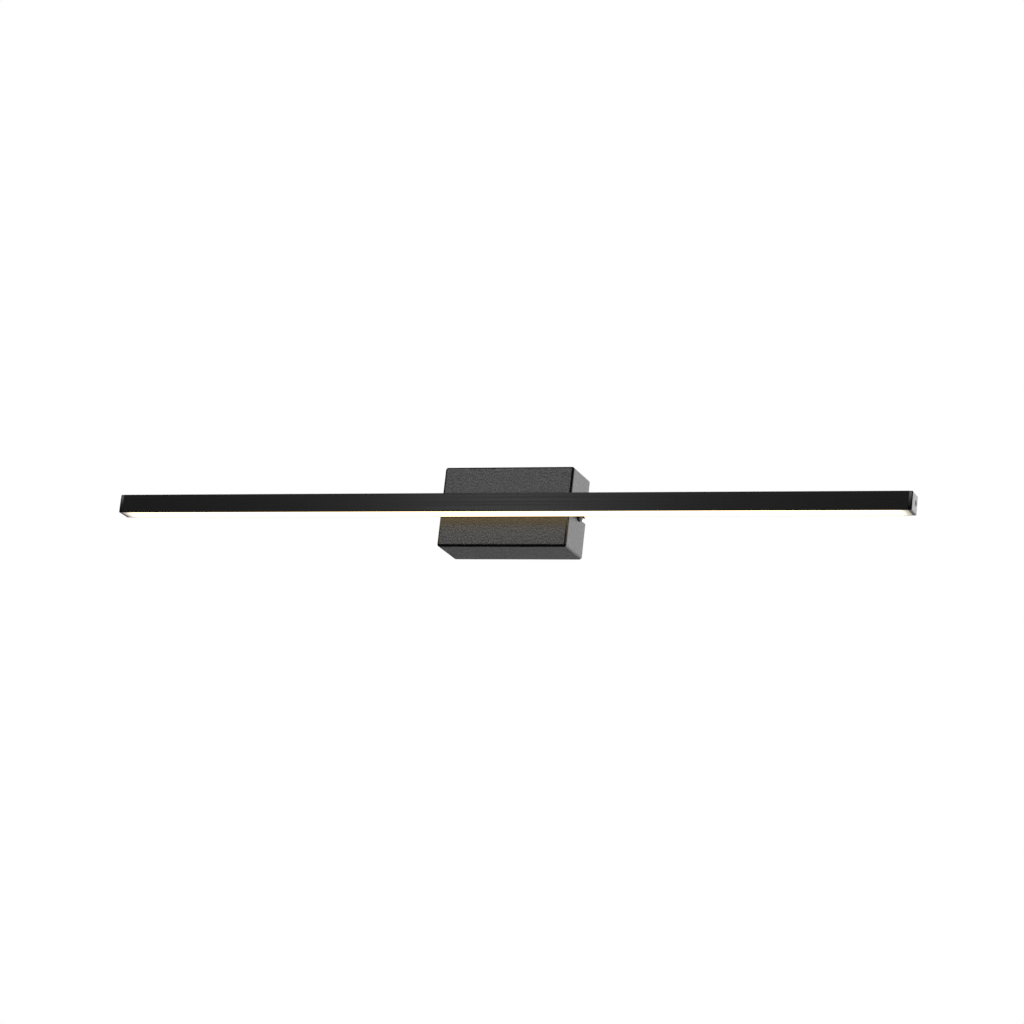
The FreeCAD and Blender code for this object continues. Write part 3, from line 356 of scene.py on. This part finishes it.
def finish_of(slot):
    """The finish of one of the record's slots, made with the others on the first call."""
    if not FINISHES:
        FINISHES.update(make_finishes())
    return FINISHES[slot]


FINISHES = {}
NODE_SLOTS = {part["node"]: part["material_slot"] for part in frame["record"]["subparts"]}


def dress(*nodes):
    """Give CAD nodes that keep their own shape the finish that the record names."""
    for node in nodes:
        piece = frame["nodes"][node]
        piece.data.materials.clear()
        piece.data.materials.append(finish_of(NODE_SLOTS[node]))


# ---- shapes: drawn in millimetres, about +X where they are turned

def loft(rings, closed=False):
    """A mesh through rings of points. A closed one joins its last ring to its first, as a washer's
    section does, and an open one gets a face at each end."""
    mesh = bmesh.new()
    loops = [[mesh.verts.new(point) for point in ring] for ring in rings]
    pairs = list(zip(loops, loops[1:]))
    if closed:
        pairs.append((loops[-1], loops[0]))
    for here, ahead in pairs:
        for index, point in enumerate(here):
            after = (index + 1) % len(here)
            mesh.faces.new((point, here[after], ahead[after], ahead[index]))
    if not closed:
        mesh.faces.new(loops[0][::-1])
        mesh.faces.new(loops[-1])
    bmesh.ops.recalc_face_normals(mesh, faces=mesh.faces)
    return mesh


def ring(x, radius, columns):
    """Points round the X axis. radius is a number, or a function of the turn from 0 to 1."""
    points = []
    for column in range(columns):
        turn = column / columns
        reach = radius(turn) if callable(radius) else radius
        points.append(Vector((x, reach * math.cos(turn * math.tau), reach * math.sin(turn * math.tau))))
    return points


def rounded(corners, steps=3):
    """A closed section from corners (x, radius from the axis, rounding), with each corner rounded."""
    section = []
    for index, (x, y, size) in enumerate(corners):
        corner = Vector((x, y))
        before = Vector(corners[index - 1][:2]) - corner
        after = Vector(corners[(index + 1) % len(corners)][:2]) - corner
        if size <= 0:
            section.append(corner)
            continue
        start = corner + before.normalized() * size
        end = corner + after.normalized() * size
        for step in range(steps + 1):
            share = step / steps
            section.append(
                start * (1 - share) ** 2 + corner * 2 * share * (1 - share) + end * share ** 2)
    return section


def turned_ring(corners, columns=64):
    """A washer-like form turned from a closed, rounded section."""
    return loft([ring(x, radius, columns) for x, radius in rounded(corners)], closed=True)


def thread(start, end, major, pitch, columns):
    """Rings of a screw thread that fades out at both ends."""
    count = math.ceil((end - start) / pitch * 6)
    depth = 0.54 * pitch
    rings = []
    for step in range(count + 1):
        x = start + (end - start) * step / count
        cut = depth * min(1, (x - start) / pitch, (end - x) / pitch)
        rings.append(ring(
            x,
            lambda turn, x=x, cut=cut: major / 2 - cut * (1 - abs(2 * ((x / pitch - turn) % 1) - 1)),
            columns))
    return rings


def hexagon_ring(x, across_flats, limit, columns=48):
    """One ring of a hexagon with its corners turned down to a limiting radius."""
    def radius(turn):
        return min(limit, across_flats / 2 / math.cos((turn * 6 % 1 - 0.5) * math.tau / 6))
    return ring(x, radius, columns)


def hexagon_form(start, length, across_flats, bore=None):
    """A nut or a screw head: a hexagon whose two faces are chamfered."""
    corner = across_flats / math.sqrt(3)
    flat = across_flats / 2
    heights = [(0, flat), (0.12, flat + 0.35 * (corner - flat)), (0.3, corner)]
    rings = [hexagon_ring(start + rise, across_flats, limit) for rise, limit in heights]
    rings += [hexagon_ring(start + length - rise, across_flats, limit) for rise, limit in reversed(heights)]
    if bore is None:
        return loft(rings)
    lead_in = 0.25
    rings += [ring(x, radius, 48) for x, radius in (
        (start + length, bore + lead_in), (start + length - lead_in, bore), (start + lead_in, bore),
        (start, bore + lead_in))]
    return loft(rings, closed=True)


def block(low, high, edge, segments=3):
    """A box with rounded edges, from two corners."""
    low, high = Vector(low), Vector(high)
    mesh = bmesh.new()
    bmesh.ops.create_cube(mesh, size=1)
    size = high - low
    bmesh.ops.transform(
        mesh, verts=mesh.verts,
        matrix=Matrix.Translation((low + high) / 2) @ Matrix.Diagonal((*size, 1)))
    if edge > 0:
        bmesh.ops.bevel(
            mesh, geom=mesh.edges[:], offset=edge, segments=segments, profile=0.5, affect="EDGES")
    return mesh


def recess_tool(depth, span, arm):
    """A tapered cross that cuts a recess into a head's face, from x 0 to minus its depth."""
    outline = []
    for quarter in range(4):
        for y, z in ((arm, arm), (arm, span), (-arm, span)):
            angle = quarter * math.tau / 4
            outline.append((
                y * math.cos(angle) - z * math.sin(angle), y * math.sin(angle) + z * math.cos(angle)))
    return loft([
        [Vector((x, y * scale, z * scale)) for y, z in outline]
        for x, scale in ((0.3, 1.1), (-depth * 0.7, 0.7), (-depth, 0.25))])


def moved(mesh, matrix):
    bmesh.ops.transform(mesh, verts=mesh.verts, matrix=matrix)
    return mesh


def along(direction, place):
    """Turns the X axis to a direction and moves the origin to a place."""
    return Matrix.Translation(place) @ Vector((1, 0, 0)).rotation_difference(
        Vector(direction)).to_matrix().to_4x4()


def joined(*meshes):
    """Several closed forms in one mesh."""
    whole = bmesh.new()
    for mesh in meshes:
        data = bpy.data.meshes.new("joining")
        mesh.to_mesh(data)
        whole.from_mesh(data)
        bpy.data.meshes.remove(data)
        mesh.free()
    return whole


def raw_object(mesh, name="blank"):
    data = bpy.data.meshes.new(name)
    mesh.to_mesh(data)
    mesh.free()
    item = bpy.data.objects.new(name, data)
    bpy.context.scene.collection.objects.link(item)
    return item


def carved(base, tools, operation="DIFFERENCE"):
    """The base with the tools taken out of it or joined to it. Only whole solids go in."""
    blank = raw_object(base)
    helpers = [raw_object(tool, "tool") for tool in tools]
    for helper in helpers:
        step = blank.modifiers.new("carve", "BOOLEAN")
        step.operation = operation
        step.solver = "EXACT"
        step.object = helper
    result = bmesh.new()
    result.from_object(blank, bpy.context.evaluated_depsgraph_get())
    for item in (blank, *helpers):
        data = item.data
        bpy.data.objects.remove(item)
        bpy.data.meshes.remove(data)
    if not result.faces:
        raise RuntimeError("a carved piece came out empty")
    return result


def piece(name, mesh, body, *nodes, sharp=35, weighted=False):
    """Turn a finished mesh, in millimetres, into a piece that rides on a body in place of CAD nodes."""
    bmesh.ops.transform(mesh, verts=mesh.verts, matrix=Matrix.Scale(MM, 4))
    for face in mesh.faces:
        face.smooth = True
    for edge in mesh.edges:
        edge.smooth = len(edge.link_faces) == 2 and edge.calc_face_angle() < math.radians(sharp)
    item = raw_object(mesh, name)
    item.data.name = name
    if weighted:
        step = item.modifiers.new("even_shading", "WEIGHTED_NORMAL")
        step.keep_sharp = True
    slot = NODE_SLOTS[nodes[0]]
    item.data.materials.append(finish_of(slot))
    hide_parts(*nodes)
    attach(item, body)


def corners(node):
    """A CAD node's lowest and highest corner, in millimetres."""
    low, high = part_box(node)
    return low / MM, high / MM


class DressCanopy(bpy.types.Operator):
    """Powder coat on the canopy"""
    bl_idname = "lightbar.canopy"
    bl_label = "Canopy"

    def execute(self, context):
        dress("canopy_cover")
        return {"FINISHED"}


class DressBar(bpy.types.Operator):
    """Finishes for the bar, its diffuser and its light board"""
    bl_idname = "lightbar.bar"
    bl_label = "Bar and light"

    def execute(self, context):
        dress("bar_profile", "diffuser", "thermal_tape", "led_board", "led_chips")
        return {"FINISHED"}


class MakeEndCaps(bpy.types.Operator):
    """End caps with crowned faces, and their countersunk screws"""
    bl_idname = "lightbar.end_caps"
    bl_label = "End caps"

    def execute(self, context):
        crown = context.scene.bar_details.cap_crown / MM
        screw_low, screw_high = corners("end_cap_screws")
        screw_y = (screw_low.y + screw_high.y) / 2
        screw_z = (screw_low.z + screw_high.z) / 2
        screws = []
        for side, sign in SIDES.items():
            node = f"end_cap_{side}"
            low, high = corners(node)
            outer = high.x if sign > 0 else -low.x
            inner = corners("bar_profile")[1].x
            screw_face = screw_high.x
            plate = self.plate(low, high, inner, outer, crown)
            # The tongue goes into the profile's upper front, clear of its walls.
            reach, wall = 3, 1.4
            tongue = block(
                (inner - reach, low.y + wall, low.z + 8.3), (inner + 0.5, low.y + 6.7, high.z - wall), 0.2, 1)
            bore, rim, rim_depth = 1.6, 3.1, 0.05
            sink = loft([
                ring(x, radius, 48) for x, radius in (
                    (inner - 1, bore), (outer - bore, bore), (outer - rim_depth, rim),
                    (outer + 1, rim + 0.05))])
            sink = moved(sink, Matrix.Translation((0, screw_y, screw_z)))
            cap = carved(carved(plate, [tongue], "UNION"), [sink])
            head = self.screw(screw_face)
            head = moved(head, Matrix.Translation((0, screw_y, screw_z)))
            if sign < 0:
                for mesh in (cap, head):
                    moved(mesh, Matrix.Scale(-1, 4, (1, 0, 0)))
                    bmesh.ops.reverse_faces(mesh, faces=mesh.faces)
            piece(f"cap_{side}", cap, "light_body", node, sharp=40, weighted=True)
            screws.append(head)
        piece("cap_screws", joined(*screws), "light_body", "end_cap_screws", sharp=30)
        return {"FINISHED"}

    @staticmethod
    def plate(low, high, inner, outer, crown):
        """The square plate: its front and outer faces fall away a little towards their edges."""
        centre_y = (low.y + high.y) / 2
        centre_z = (low.z + high.z) / 2
        half = (high.z - low.z) / 2
        edge_steps, corner, front_depth = 12, 0.3, 2
        radius, dish = 0.9, 0.06

        def outline(x, inset):
            # Upright edges at the front and back, level edges at the top and bottom.
            reach = half - inset
            points = []
            for start, end in (
                    ((-reach, -reach), (reach, -reach)), ((reach, -reach), (reach, reach)),
                    ((reach, reach), (-reach, reach)), ((-reach, reach), (-reach, -reach))):
                run = Vector(end) - Vector(start)
                size = run.length
                unit = run / size
                turn = Vector((-unit.y, unit.x))
                for step in range(edge_steps + 1):
                    spot = Vector(start) + unit * (corner + (size - 2 * corner) * step / edge_steps)
                    points.append(spot)
                for step in (1, 2):
                    angle = step / 3 * math.tau / 4
                    centre = Vector(end) - unit * corner + turn * corner
                    points.append(centre + unit * corner * math.sin(angle) - turn * corner * math.cos(angle))
            ring_points = []
            for y, z in points:
                fall = crown * (z / half) ** 2
                y = y + fall if y < -half + front_depth else y
                ring_points.append(Vector((x, centre_y + y, centre_z + z)))
            return ring_points

        rings = [outline(inner, 0.0)]
        for step in range(6):
            angle = step / 5 * math.tau / 4
            rings.append(outline(
                outer - radius + radius * math.sin(angle) - dish, radius * (1 - math.cos(angle))))
        last = rings[-1]
        centre = Vector((last[0].x, centre_y, centre_z))
        for share in (0.75, 0.5, 0.25, 0.1):
            rise = Vector((dish * (1 - share ** 2), 0, 0))
            rings.append([centre + (point - centre) * share + rise for point in last])
        return loft(rings)

    @staticmethod
    def screw(face):
        """A countersunk M3 screw with a cross recess."""
        body = loft([ring(x, radius, 48) for x, radius in (
            (face - 10, 1.0), (face - 9.5, 1.45), (face - 1.62, 1.45), (face - 1.5, 1.5),
            (face - 0.18, 2.82), (face - 0.08, 2.9), (face, 2.84))])
        tool = moved(recess_tool(1.3, 1.55, 0.36), Matrix.Translation((face, 0, 0)))
        return carved(body, [tool])


class MakeThumbScrews(bpy.types.Operator):
    """Thumb screws with a knurled head and a cut thread, and their washers"""
    bl_idname = "lightbar.thumb_screws"
    bl_label = "Thumb screws"

    def execute(self, context):
        details = context.scene.bar_details
        for side, sign in SIDES.items():
            low, high = corners(f"thumb_screw_{side}")
            centre = (low + high) / 2
            tip = high.x - low.x
            outer = high.x if sign > 0 else low.x
            screw = moved(
                self.screw(details, tip, (high.z - low.z) / 2),
                along((sign, 0, 0), (outer, centre.y, centre.z)))
            body = f"thumb_screw_{side}"
            piece(f"thumb_screw_{side}_turned", screw, body, f"thumb_screw_{side}", sharp=28)
            low, high = corners(f"thumb_washer_{side}")
            radius, thickness = (high.z - low.z) / 2, high.x - low.x
            washer = turned_ring([
                (0, 2.15, 0.2), (thickness, 2.15, 0.2), (thickness, radius - 2.0, 0),
                (thickness - 0.12, radius - 1.8, 0), (thickness - 0.12, radius, 0.4), (0, radius, 0.25)])
            washer = moved(washer, along(
                (sign, 0, 0), (low.x if sign > 0 else high.x, centre.y, centre.z)))
            body = f"thumb_washer_{side}"
            piece(f"thumb_washer_{side}_moulded", washer, body, f"thumb_washer_{side}", sharp=50)
        return {"FINISHED"}

    @staticmethod
    def screw(details, tip, radius):
        """The screw from its tip to its head, which ends at x 0."""
        count = details.knurl_count
        columns = count * 4
        depth = details.knurl_depth / MM
        knob, neck = 2.0, 4.4

        def knurled(limit, share):
            return lambda turn: limit - share * depth * abs(2 * (turn * count % 1) - 1)

        shank = 1.95
        rings = [ring(-tip, shank - 0.55, columns), ring(-tip + 0.45, shank - 0.05, columns)]
        rings += thread(-tip + 0.5, -neck - 0.9, 2 * shank, details.thread_pitch / MM, columns)
        rings += [ring(x, size, columns) for x, size in (
            (-neck - 0.8, 1.6), (-neck - 0.1, 1.6), (-neck, 1.75), (-neck, 2.4), (-neck + 0.2, 2.6),
            (-knob - 0.25, 2.6), (-knob - 0.08, 2.68), (-knob, 2.85), (-knob, radius - 0.45))]
        rings.append(ring(-knob + 0.22, knurled(radius - 0.1, 0.6), columns))
        rings.append(ring(-knob + 0.4, knurled(radius, 1.0), columns))
        rings.append(ring(-0.4, knurled(radius, 1.0), columns))
        rings.append(ring(-0.22, knurled(radius - 0.1, 0.6), columns))
        rings += [ring(x, size, columns) for x, size in (
            (0, radius - 0.45), (0, 2.9), (-0.12, 2.75), (-0.16, 0.8), (-0.3, 0.3))]
        return loft(rings)


class DressBracket(bpy.types.Operator):
    """The wall bracket with its clinch nuts, cable bushing and earth screw"""
    bl_idname = "lightbar.bracket"
    bl_label = "Wall bracket"

    def execute(self, context):
        dress("wall_bracket")
        low, high = corners("side_clinch_nuts")
        centre = (low + high) / 2
        nuts = []
        bore, spigot, collar, shoulder, depth = 2.0, 2.7, 4.2, 2.0, 3.3
        for sign in SIDES.values():
            nut = turned_ring([
                (0, bore, 0), (depth, bore, 0), (depth, spigot, 0), (shoulder, spigot, 0),
                (shoulder, collar, 0.25), (0, collar, 0.4)])
            nuts.append(moved(nut, along((sign, 0, 0), (sign * (high.x - depth), centre.y, centre.z))))
        piece("clinch_nuts", joined(*nuts), "wall_bracket", "side_clinch_nuts", sharp=50)

        low, high = corners("cable_bushing")
        bore, sleeve, flange, rim = 8.0, 11.0, high.x, 1.2
        depth = high.y - low.y
        bushing = turned_ring([
            (0, bore, 0.5), (depth, bore, 0.6), (depth, flange, 0.5), (depth - rim, flange, 0.2),
            (depth - rim, sleeve, 0), (0, sleeve, 0.2)], 96)
        piece(
            "moulded_bushing", moved(bushing, along((0, -1, 0), (0, high.y, 0))), "wall_bracket",
            "cable_bushing", sharp=50)

        low, high = corners("bracket_earth_screw")
        centre = (low + high) / 2
        head_base, head_top = low.y + 2.8, low.y
        head = hexagon_form(0, head_base - head_top, 7.0)
        slot_tool = block((head_base - head_top - 1.2, -0.5, -5), (head_base - head_top + 1, 0.5, 5), 0)
        head = carved(head, [slot_tool])
        shank = loft([ring(x, 1.9, 48) for x in (head_base, 0.05)])
        screw = joined(
            moved(head, along((0, -1, 0), (centre.x, head_base, centre.z))),
            moved(shank, along((0, -1, 0), (centre.x, head_base, centre.z))))
        piece("earth_screw_head", screw, "wall_bracket", "bracket_earth_screw", sharp=30)

        low, high = corners("bracket_earth_washer")
        washer = turned_ring([
            (0, 2.05, 0.1), (0.8, 2.05, 0.1), (0.8, 4.3, 0.1), (0.3, 4.5, 0.1), (0, 4.5, 0.1)])
        piece(
            "earth_cup_washer", moved(washer, along((0, -1, 0), (centre.x, high.y, centre.z))), "wall_bracket",
            "bracket_earth_washer", sharp=40)
        return {"FINISHED"}


class DressPowerSupply(bpy.types.Operator):
    """The power supply's case, its ribbed lid and what is inside"""
    bl_idname = "lightbar.power_supply"
    bl_label = "Power supply"

    def execute(self, context):
        dress(
            "driver_foam_pad", "driver_case", "driver_board", "driver_transformer", "driver_capacitors",
            "driver_chips")
        low, high = corners("driver_lid")
        plate_front = high.y - 1.5
        ribs, rib_pitch = 6, 2.8
        plate = block((low.x, plate_front, low.z), (high.x, high.y, high.z), 0.4)
        label_field = block((low.x + 12, high.y - 0.25, low.z + 5), (high.x - 26, high.y + 1, high.z - 5), 0)
        tools = [label_field]
        for step in range(ribs):
            x = high.x - 20 + step * rib_pitch
            tools.append(block(
                (x - 0.6, plate_front - 2, low.z + 6), (x + 0.6, high.y + 2, high.z - 6), 0.3, 1))
        for x in (low.x + 20, high.x - 20):
            for z in (low.z, high.z):
                tools.append(block((x - 4, high.y - 0.7, z - 0.9), (x + 4, high.y + 1, z + 0.9), 0.1, 1))
        lid = carved(plate, tools)
        lip = block((low.x + 1.7, low.y, low.z + 1.7), (high.x - 1.7, plate_front + 0.05, high.z - 1.7), 0.3)
        hollow = block((low.x + 3, low.y - 1, low.z + 3), (high.x - 3, plate_front + 2, high.z - 3), 0)
        piece(
            "ribbed_lid", joined(lid, carved(lip, [hollow])), "light_body", "driver_lid", sharp=35,
            weighted=True)
        return {"FINISHED"}


class DressTerminals(bpy.types.Operator):
    """The terminal block, its clamps and screws, and the leads"""
    bl_idname = "lightbar.terminals"
    bl_label = "Terminals and leads"

    def execute(self, context):
        dress(
            "terminal_clamps", "live_lead", "neutral_lead", "earth_lead", "led_lead_positive",
            "led_lead_negative")
        low, high = corners("terminal_block")
        centre = (low + high) / 2
        pitch = 10.0
        heights = (low.z + 5, high.z - 5)
        tools = []
        for pole in (-1, 0, 1):
            x = pole * pitch
            tools.append(moved(
                loft([ring(along_z, radius, 40) for along_z, radius in (
                    (-1, 3.6), (0, 3.5), (0.9, 2.9), (high.z - low.z - 0.9, 2.9), (high.z - low.z, 3.5),
                    (high.z - low.z + 1, 3.6))]),
                along((0, 0, 1), (x, centre.y, low.z))))
            for height in heights:
                tools.append(moved(
                    loft([ring(depth, radius, 32) for depth, radius in (
                        (0, 2.1), (5.4, 2.1), (6.0, 2.5), (7.0, 2.5))]),
                    along((0, 1, 0), (x, centre.y, height))))
        for x in (-pitch * 1.5, -pitch / 2, pitch / 2, pitch * 1.5):
            tools.append(block((x - 0.7, high.y - 1.6, low.z - 1), (x + 0.7, high.y + 1, high.z + 1), 0))
        tools.append(moved(
            loft([ring(-1, 1.7, 32), ring(high.y - low.y + 1, 1.7, 32)]),
            along((0, 1, 0), (-pitch / 2, low.y, centre.z))))
        body = carved(block(low, high, 0.5), tools)
        piece("moulded_terminal_block", body, "light_body", "terminal_block", sharp=35, weighted=True)

        low, high = corners("terminal_screws")
        screws = []
        for pole in (-1, 0, 1):
            for height in heights:
                body = loft([ring(x, radius, 40) for x, radius in (
                    (-4.0, 1.0), (-3.7, 1.3), (-2.2, 1.3), (-2.2, 1.75), (-2.0, 1.9), (-0.3, 1.9),
                    (-0.1, 1.75), (0, 1.4))])
                slot_tool = block((-0.85, -0.35, -3), (1, 0.35, 3), 0)
                place = along((0, 1, 0), (pole * pitch, high.y, height))
                screws.append(moved(carved(body, [slot_tool]), place))
        piece("slotted_terminal_screws", joined(*screws), "light_body", "terminal_screws", sharp=30)

        low, high = corners("earth_ring_terminal")
        centre = (low + high) / 2
        thickness = high.y - low.y
        tag = turned_ring([(0, 2.05, 0.1), (thickness, 2.05, 0.1), (thickness, 4.0, 0.15), (0, 4.0, 0.15)])
        tag = moved(tag, along((0, 1, 0), (centre.x, low.y, centre.z)))
        piece("crimped_ring", tag, "light_body", "earth_ring_terminal", sharp=50)
        return {"FINISHED"}


class MakeFixings(bpy.types.Operator):
    """The bar's fixing screws, washers and nut plates, the studs and their nuts, and the lead grommet"""
    bl_idname = "lightbar.fixings"
    bl_label = "Fixings"

    def execute(self, context):
        dress("bar_nut_plates", "weld_studs")
        low, high = corners("bar_fixing_screws")
        centre = (low + high) / 2
        screws, washers = [], []
        washer_low, washer_high = corners("bar_fixing_washers")
        head_radius, tip = 4.0, low.y - high.y
        for sign in SIDES.values():
            x = sign * (high.x - head_radius)
            body = loft([ring(depth, radius, 48) for depth, radius in (
                (tip, 1.6), (tip + 0.4, 1.95), (-2.6, 1.95), (-2.6, 3.8), (-2.45, head_radius),
                (-1.3, head_radius), (-0.6, 3.6), (-0.15, 2.8), (0, 1.8))])
            tool = recess_tool(1.7, 2.2, 0.5)
            screws.append(moved(carved(body, [tool]), along((0, 1, 0), (x, high.y, centre.z))))
            thickness = washer_high.y - washer_low.y
            washer = turned_ring([
                (0, 2.1, 0.1), (thickness, 2.1, 0.1), (thickness, 4.5, 0.2), (0, 4.5, 0.1)])
            washers.append(moved(washer, along((0, 1, 0), (x, washer_low.y, centre.z))))
        piece("pan_head_screws", joined(*screws), "light_body", "bar_fixing_screws", sharp=30)
        piece("plain_washers", joined(*washers), "light_body", "bar_fixing_washers", sharp=50)

        low, high = corners("stud_nuts")
        stud_low, stud_high = corners("weld_studs")
        height = (low.z + high.z) / 2
        block_stud, earth_stud = 1.5, 1.95
        block_x, earth_x = stud_low.x + block_stud, stud_high.x - earth_stud
        nuts = joined(
            moved(hexagon_form(0, 2.4, 5.5, 1.55), along((0, 1, 0), (block_x, high.y - 2.4, height))),
            moved(hexagon_form(0, 3.2, 7.0, 2.0), along((0, 1, 0), (earth_x, low.y, height))))
        piece("chamfered_nuts", nuts, "light_body", "stud_nuts", sharp=25)

        low, high = corners("lead_grommet")
        centre = (low + high) / 2
        depth = high.y - low.y
        grommet = turned_ring([
            (0, 2.6, 0.4), (depth, 2.6, 0.5), (depth, 5.2, 0.45), (depth - 1.2, 5.2, 0.2),
            (depth - 1.2, 4.0, 0), (0, 4.0, 0.2)])
        piece(
            "moulded_grommet", moved(grommet, along((0, 1, 0), (centre.x, low.y, centre.z))), "light_body",
            "lead_grommet", sharp=50)
        return {"FINISHED"}


class MakeStage(bpy.types.Operator):
    """A plain pale floor, soft light from the sky and one soft box, and the camera"""
    bl_idname = "lightbar.stage"
    bl_label = "Studio"

    def execute(self, context):
        scene = context.scene
        studio, strength = scene.bar_studio, scene.bar_strengths
        self.floor(studio)
        self.sky(scene, strength)
        self.key_light(scene, strength)
        self.camera(scene, studio)
        scene.view_settings.view_transform = "Standard"
        return {"FINISHED"}

    @staticmethod
    def floor(studio):
        mesh = bmesh.new()
        bmesh.ops.create_circle(mesh, cap_ends=True, segments=96, radius=6)
        bmesh.ops.transform(mesh, verts=mesh.verts, matrix=Matrix.Translation((0, 0, -studio.floor_drop)))
        plate = raw_object(mesh, "studio_floor")
        # The floor is only there to be seen, and throws no light back on the bar.
        plate.visible_diffuse = False
        plate.visible_glossy = False
        # Seamless studio paper, lit by itself: matt, pale, with a barely visible fibre.
        plate.data.materials.append(
            grained("studio_paper", linear("ececea"), 6, 0.02, 0.9, 0.01, glow=0.55))

    @staticmethod
    def sky(scene, strength):
        """Soft boxes painted on the sky. The camera itself sees plain white."""
        world = bpy.data.worlds.new("studio_sky")
        scene.world = world
        world.use_nodes = True
        tree = world.node_tree
        tree.nodes.clear()
        place = add(tree, "ShaderNodeTexCoord")
        boxes = (
            # direction, cosines of its outer and inner edges, brightness
            ((-0.36, -0.80, 0.47), 0.966, 0.984, strength.front),
            ((0.36, 0.9, 0.25), 0.60, 0.85, strength.backdrop),
            ((-0.62, 0.77, -0.12), 0.86, 0.95, strength.low),
        )
        total = strength.fill
        for direction, outer, inner, power in boxes:
            facing = add(tree, "ShaderNodeVectorMath", {
                0: place.outputs["Generated"], 1: Vector(direction).normalized()}, operation="DOT_PRODUCT")
            edge = add(tree, "ShaderNodeMapRange", {
                "Value": facing.outputs["Value"], "From Min": outer, "From Max": inner, "To Min": 0.0,
                "To Max": power}, interpolation_type="SMOOTHSTEP")
            brighter = add(tree, "ShaderNodeMath", {0: total, 1: edge.outputs["Result"]}, operation="ADD")
            total = brighter.outputs[0]
        light = add(tree, "ShaderNodeBackground", {"Color": (1, 1, 1, 1), "Strength": total})
        plain = add(tree, "ShaderNodeBackground", {"Color": (1, 1, 1, 1), "Strength": 1.0})
        path = add(tree, "ShaderNodeLightPath")
        mix = add(tree, "ShaderNodeMixShader", {
            0: path.outputs["Is Camera Ray"], 1: light.outputs[0], 2: plain.outputs[0]})
        add(tree, "ShaderNodeOutputWorld", {"Surface": mix.outputs[0]})

    @staticmethod
    def key_light(scene, strength):
        """A tall, narrow soft box, near enough that the bar's ends get less of it than its middle."""
        data = bpy.data.lights.new("soft_box", "AREA")
        data.shape = "RECTANGLE"
        data.size = 0.12
        data.size_y = 0.9
        data.energy = strength.key
        box = bpy.data.objects.new("soft_box", data)
        scene.collection.objects.link(box)
        box.location = (-0.445, -1.128, 0.52)
        box.rotation_mode = "QUATERNION"
        box.rotation_quaternion = (-box.location).to_track_quat("-Z", "Y")
        box.visible_camera = False

    @staticmethod
    def camera(scene, studio):
        turn, rise, roll = studio.azimuth, studio.elevation, studio.roll
        ahead = Vector((-math.sin(turn) * math.cos(rise), math.cos(turn) * math.cos(rise), math.sin(rise)))
        level = Vector((math.cos(turn), math.sin(turn), 0))
        upright = level.cross(ahead)
        right = math.cos(roll) * level + math.sin(roll) * upright
        up = math.cos(roll) * upright - math.sin(roll) * level
        low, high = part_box("bar_profile")
        aside, below = 0.013232, 0.009510
        aim = Vector((0, low.y, (low.z + high.z) / 2)) + aside * right - below * up
        data = bpy.data.cameras.new("studio_camera")
        data.sensor_width = 36
        data.lens = studio.lens
        camera = bpy.data.objects.new("studio_camera", data)
        scene.collection.objects.link(camera)
        camera.matrix_world = Matrix((right, up, -ahead)).transposed().to_4x4()
        camera.location = aim - ahead * studio.distance
        scene.camera = camera


MAKERS = (
    DressCanopy, DressBar, MakeEndCaps, MakeThumbScrews, DressBracket, DressPowerSupply, DressTerminals,
    MakeFixings, MakeStage)
GROUPS = {
    "bar_colours": FinishColours,
    "bar_strengths": StrengthSettings,
    "bar_details": DetailSizes,
    "bar_studio": StudioSettings,
}


class LightBarPanel(bpy.types.Panel):
    """Lists the light bar's settings and makers"""
    bl_idname = "VIEW3D_PT_light_bar"
    bl_label = "Light Bar"
    bl_space_type = "VIEW_3D"
    bl_region_type = "UI"
    bl_category = "Light Bar"

    def draw(self, context):
        for name, group in GROUPS.items():
            settings = getattr(context.scene, name)
            box = self.layout.box()
            for setting in group.__annotations__:
                box.prop(settings, setting)
        for maker in MAKERS:
            self.layout.operator(maker.bl_idname)


def register():
    for group in GROUPS.values():
        bpy.utils.register_class(group)
    for name, group in GROUPS.items():
        setattr(bpy.types.Scene, name, PointerProperty(type=group))
    for maker in (*MAKERS, LightBarPanel):
        bpy.utils.register_class(maker)


def unregister():
    for maker in (LightBarPanel, *reversed(MAKERS)):
        bpy.utils.unregister_class(maker)
    for name in GROUPS:
        delattr(bpy.types.Scene, name)
    for group in reversed(tuple(GROUPS.values())):
        bpy.utils.unregister_class(group)


def main():
    register()
    for maker in MAKERS:
        group, name = maker.bl_idname.split(".")
        getattr(getattr(bpy.ops, group), name)()


if __name__ == "__main__":
    main()
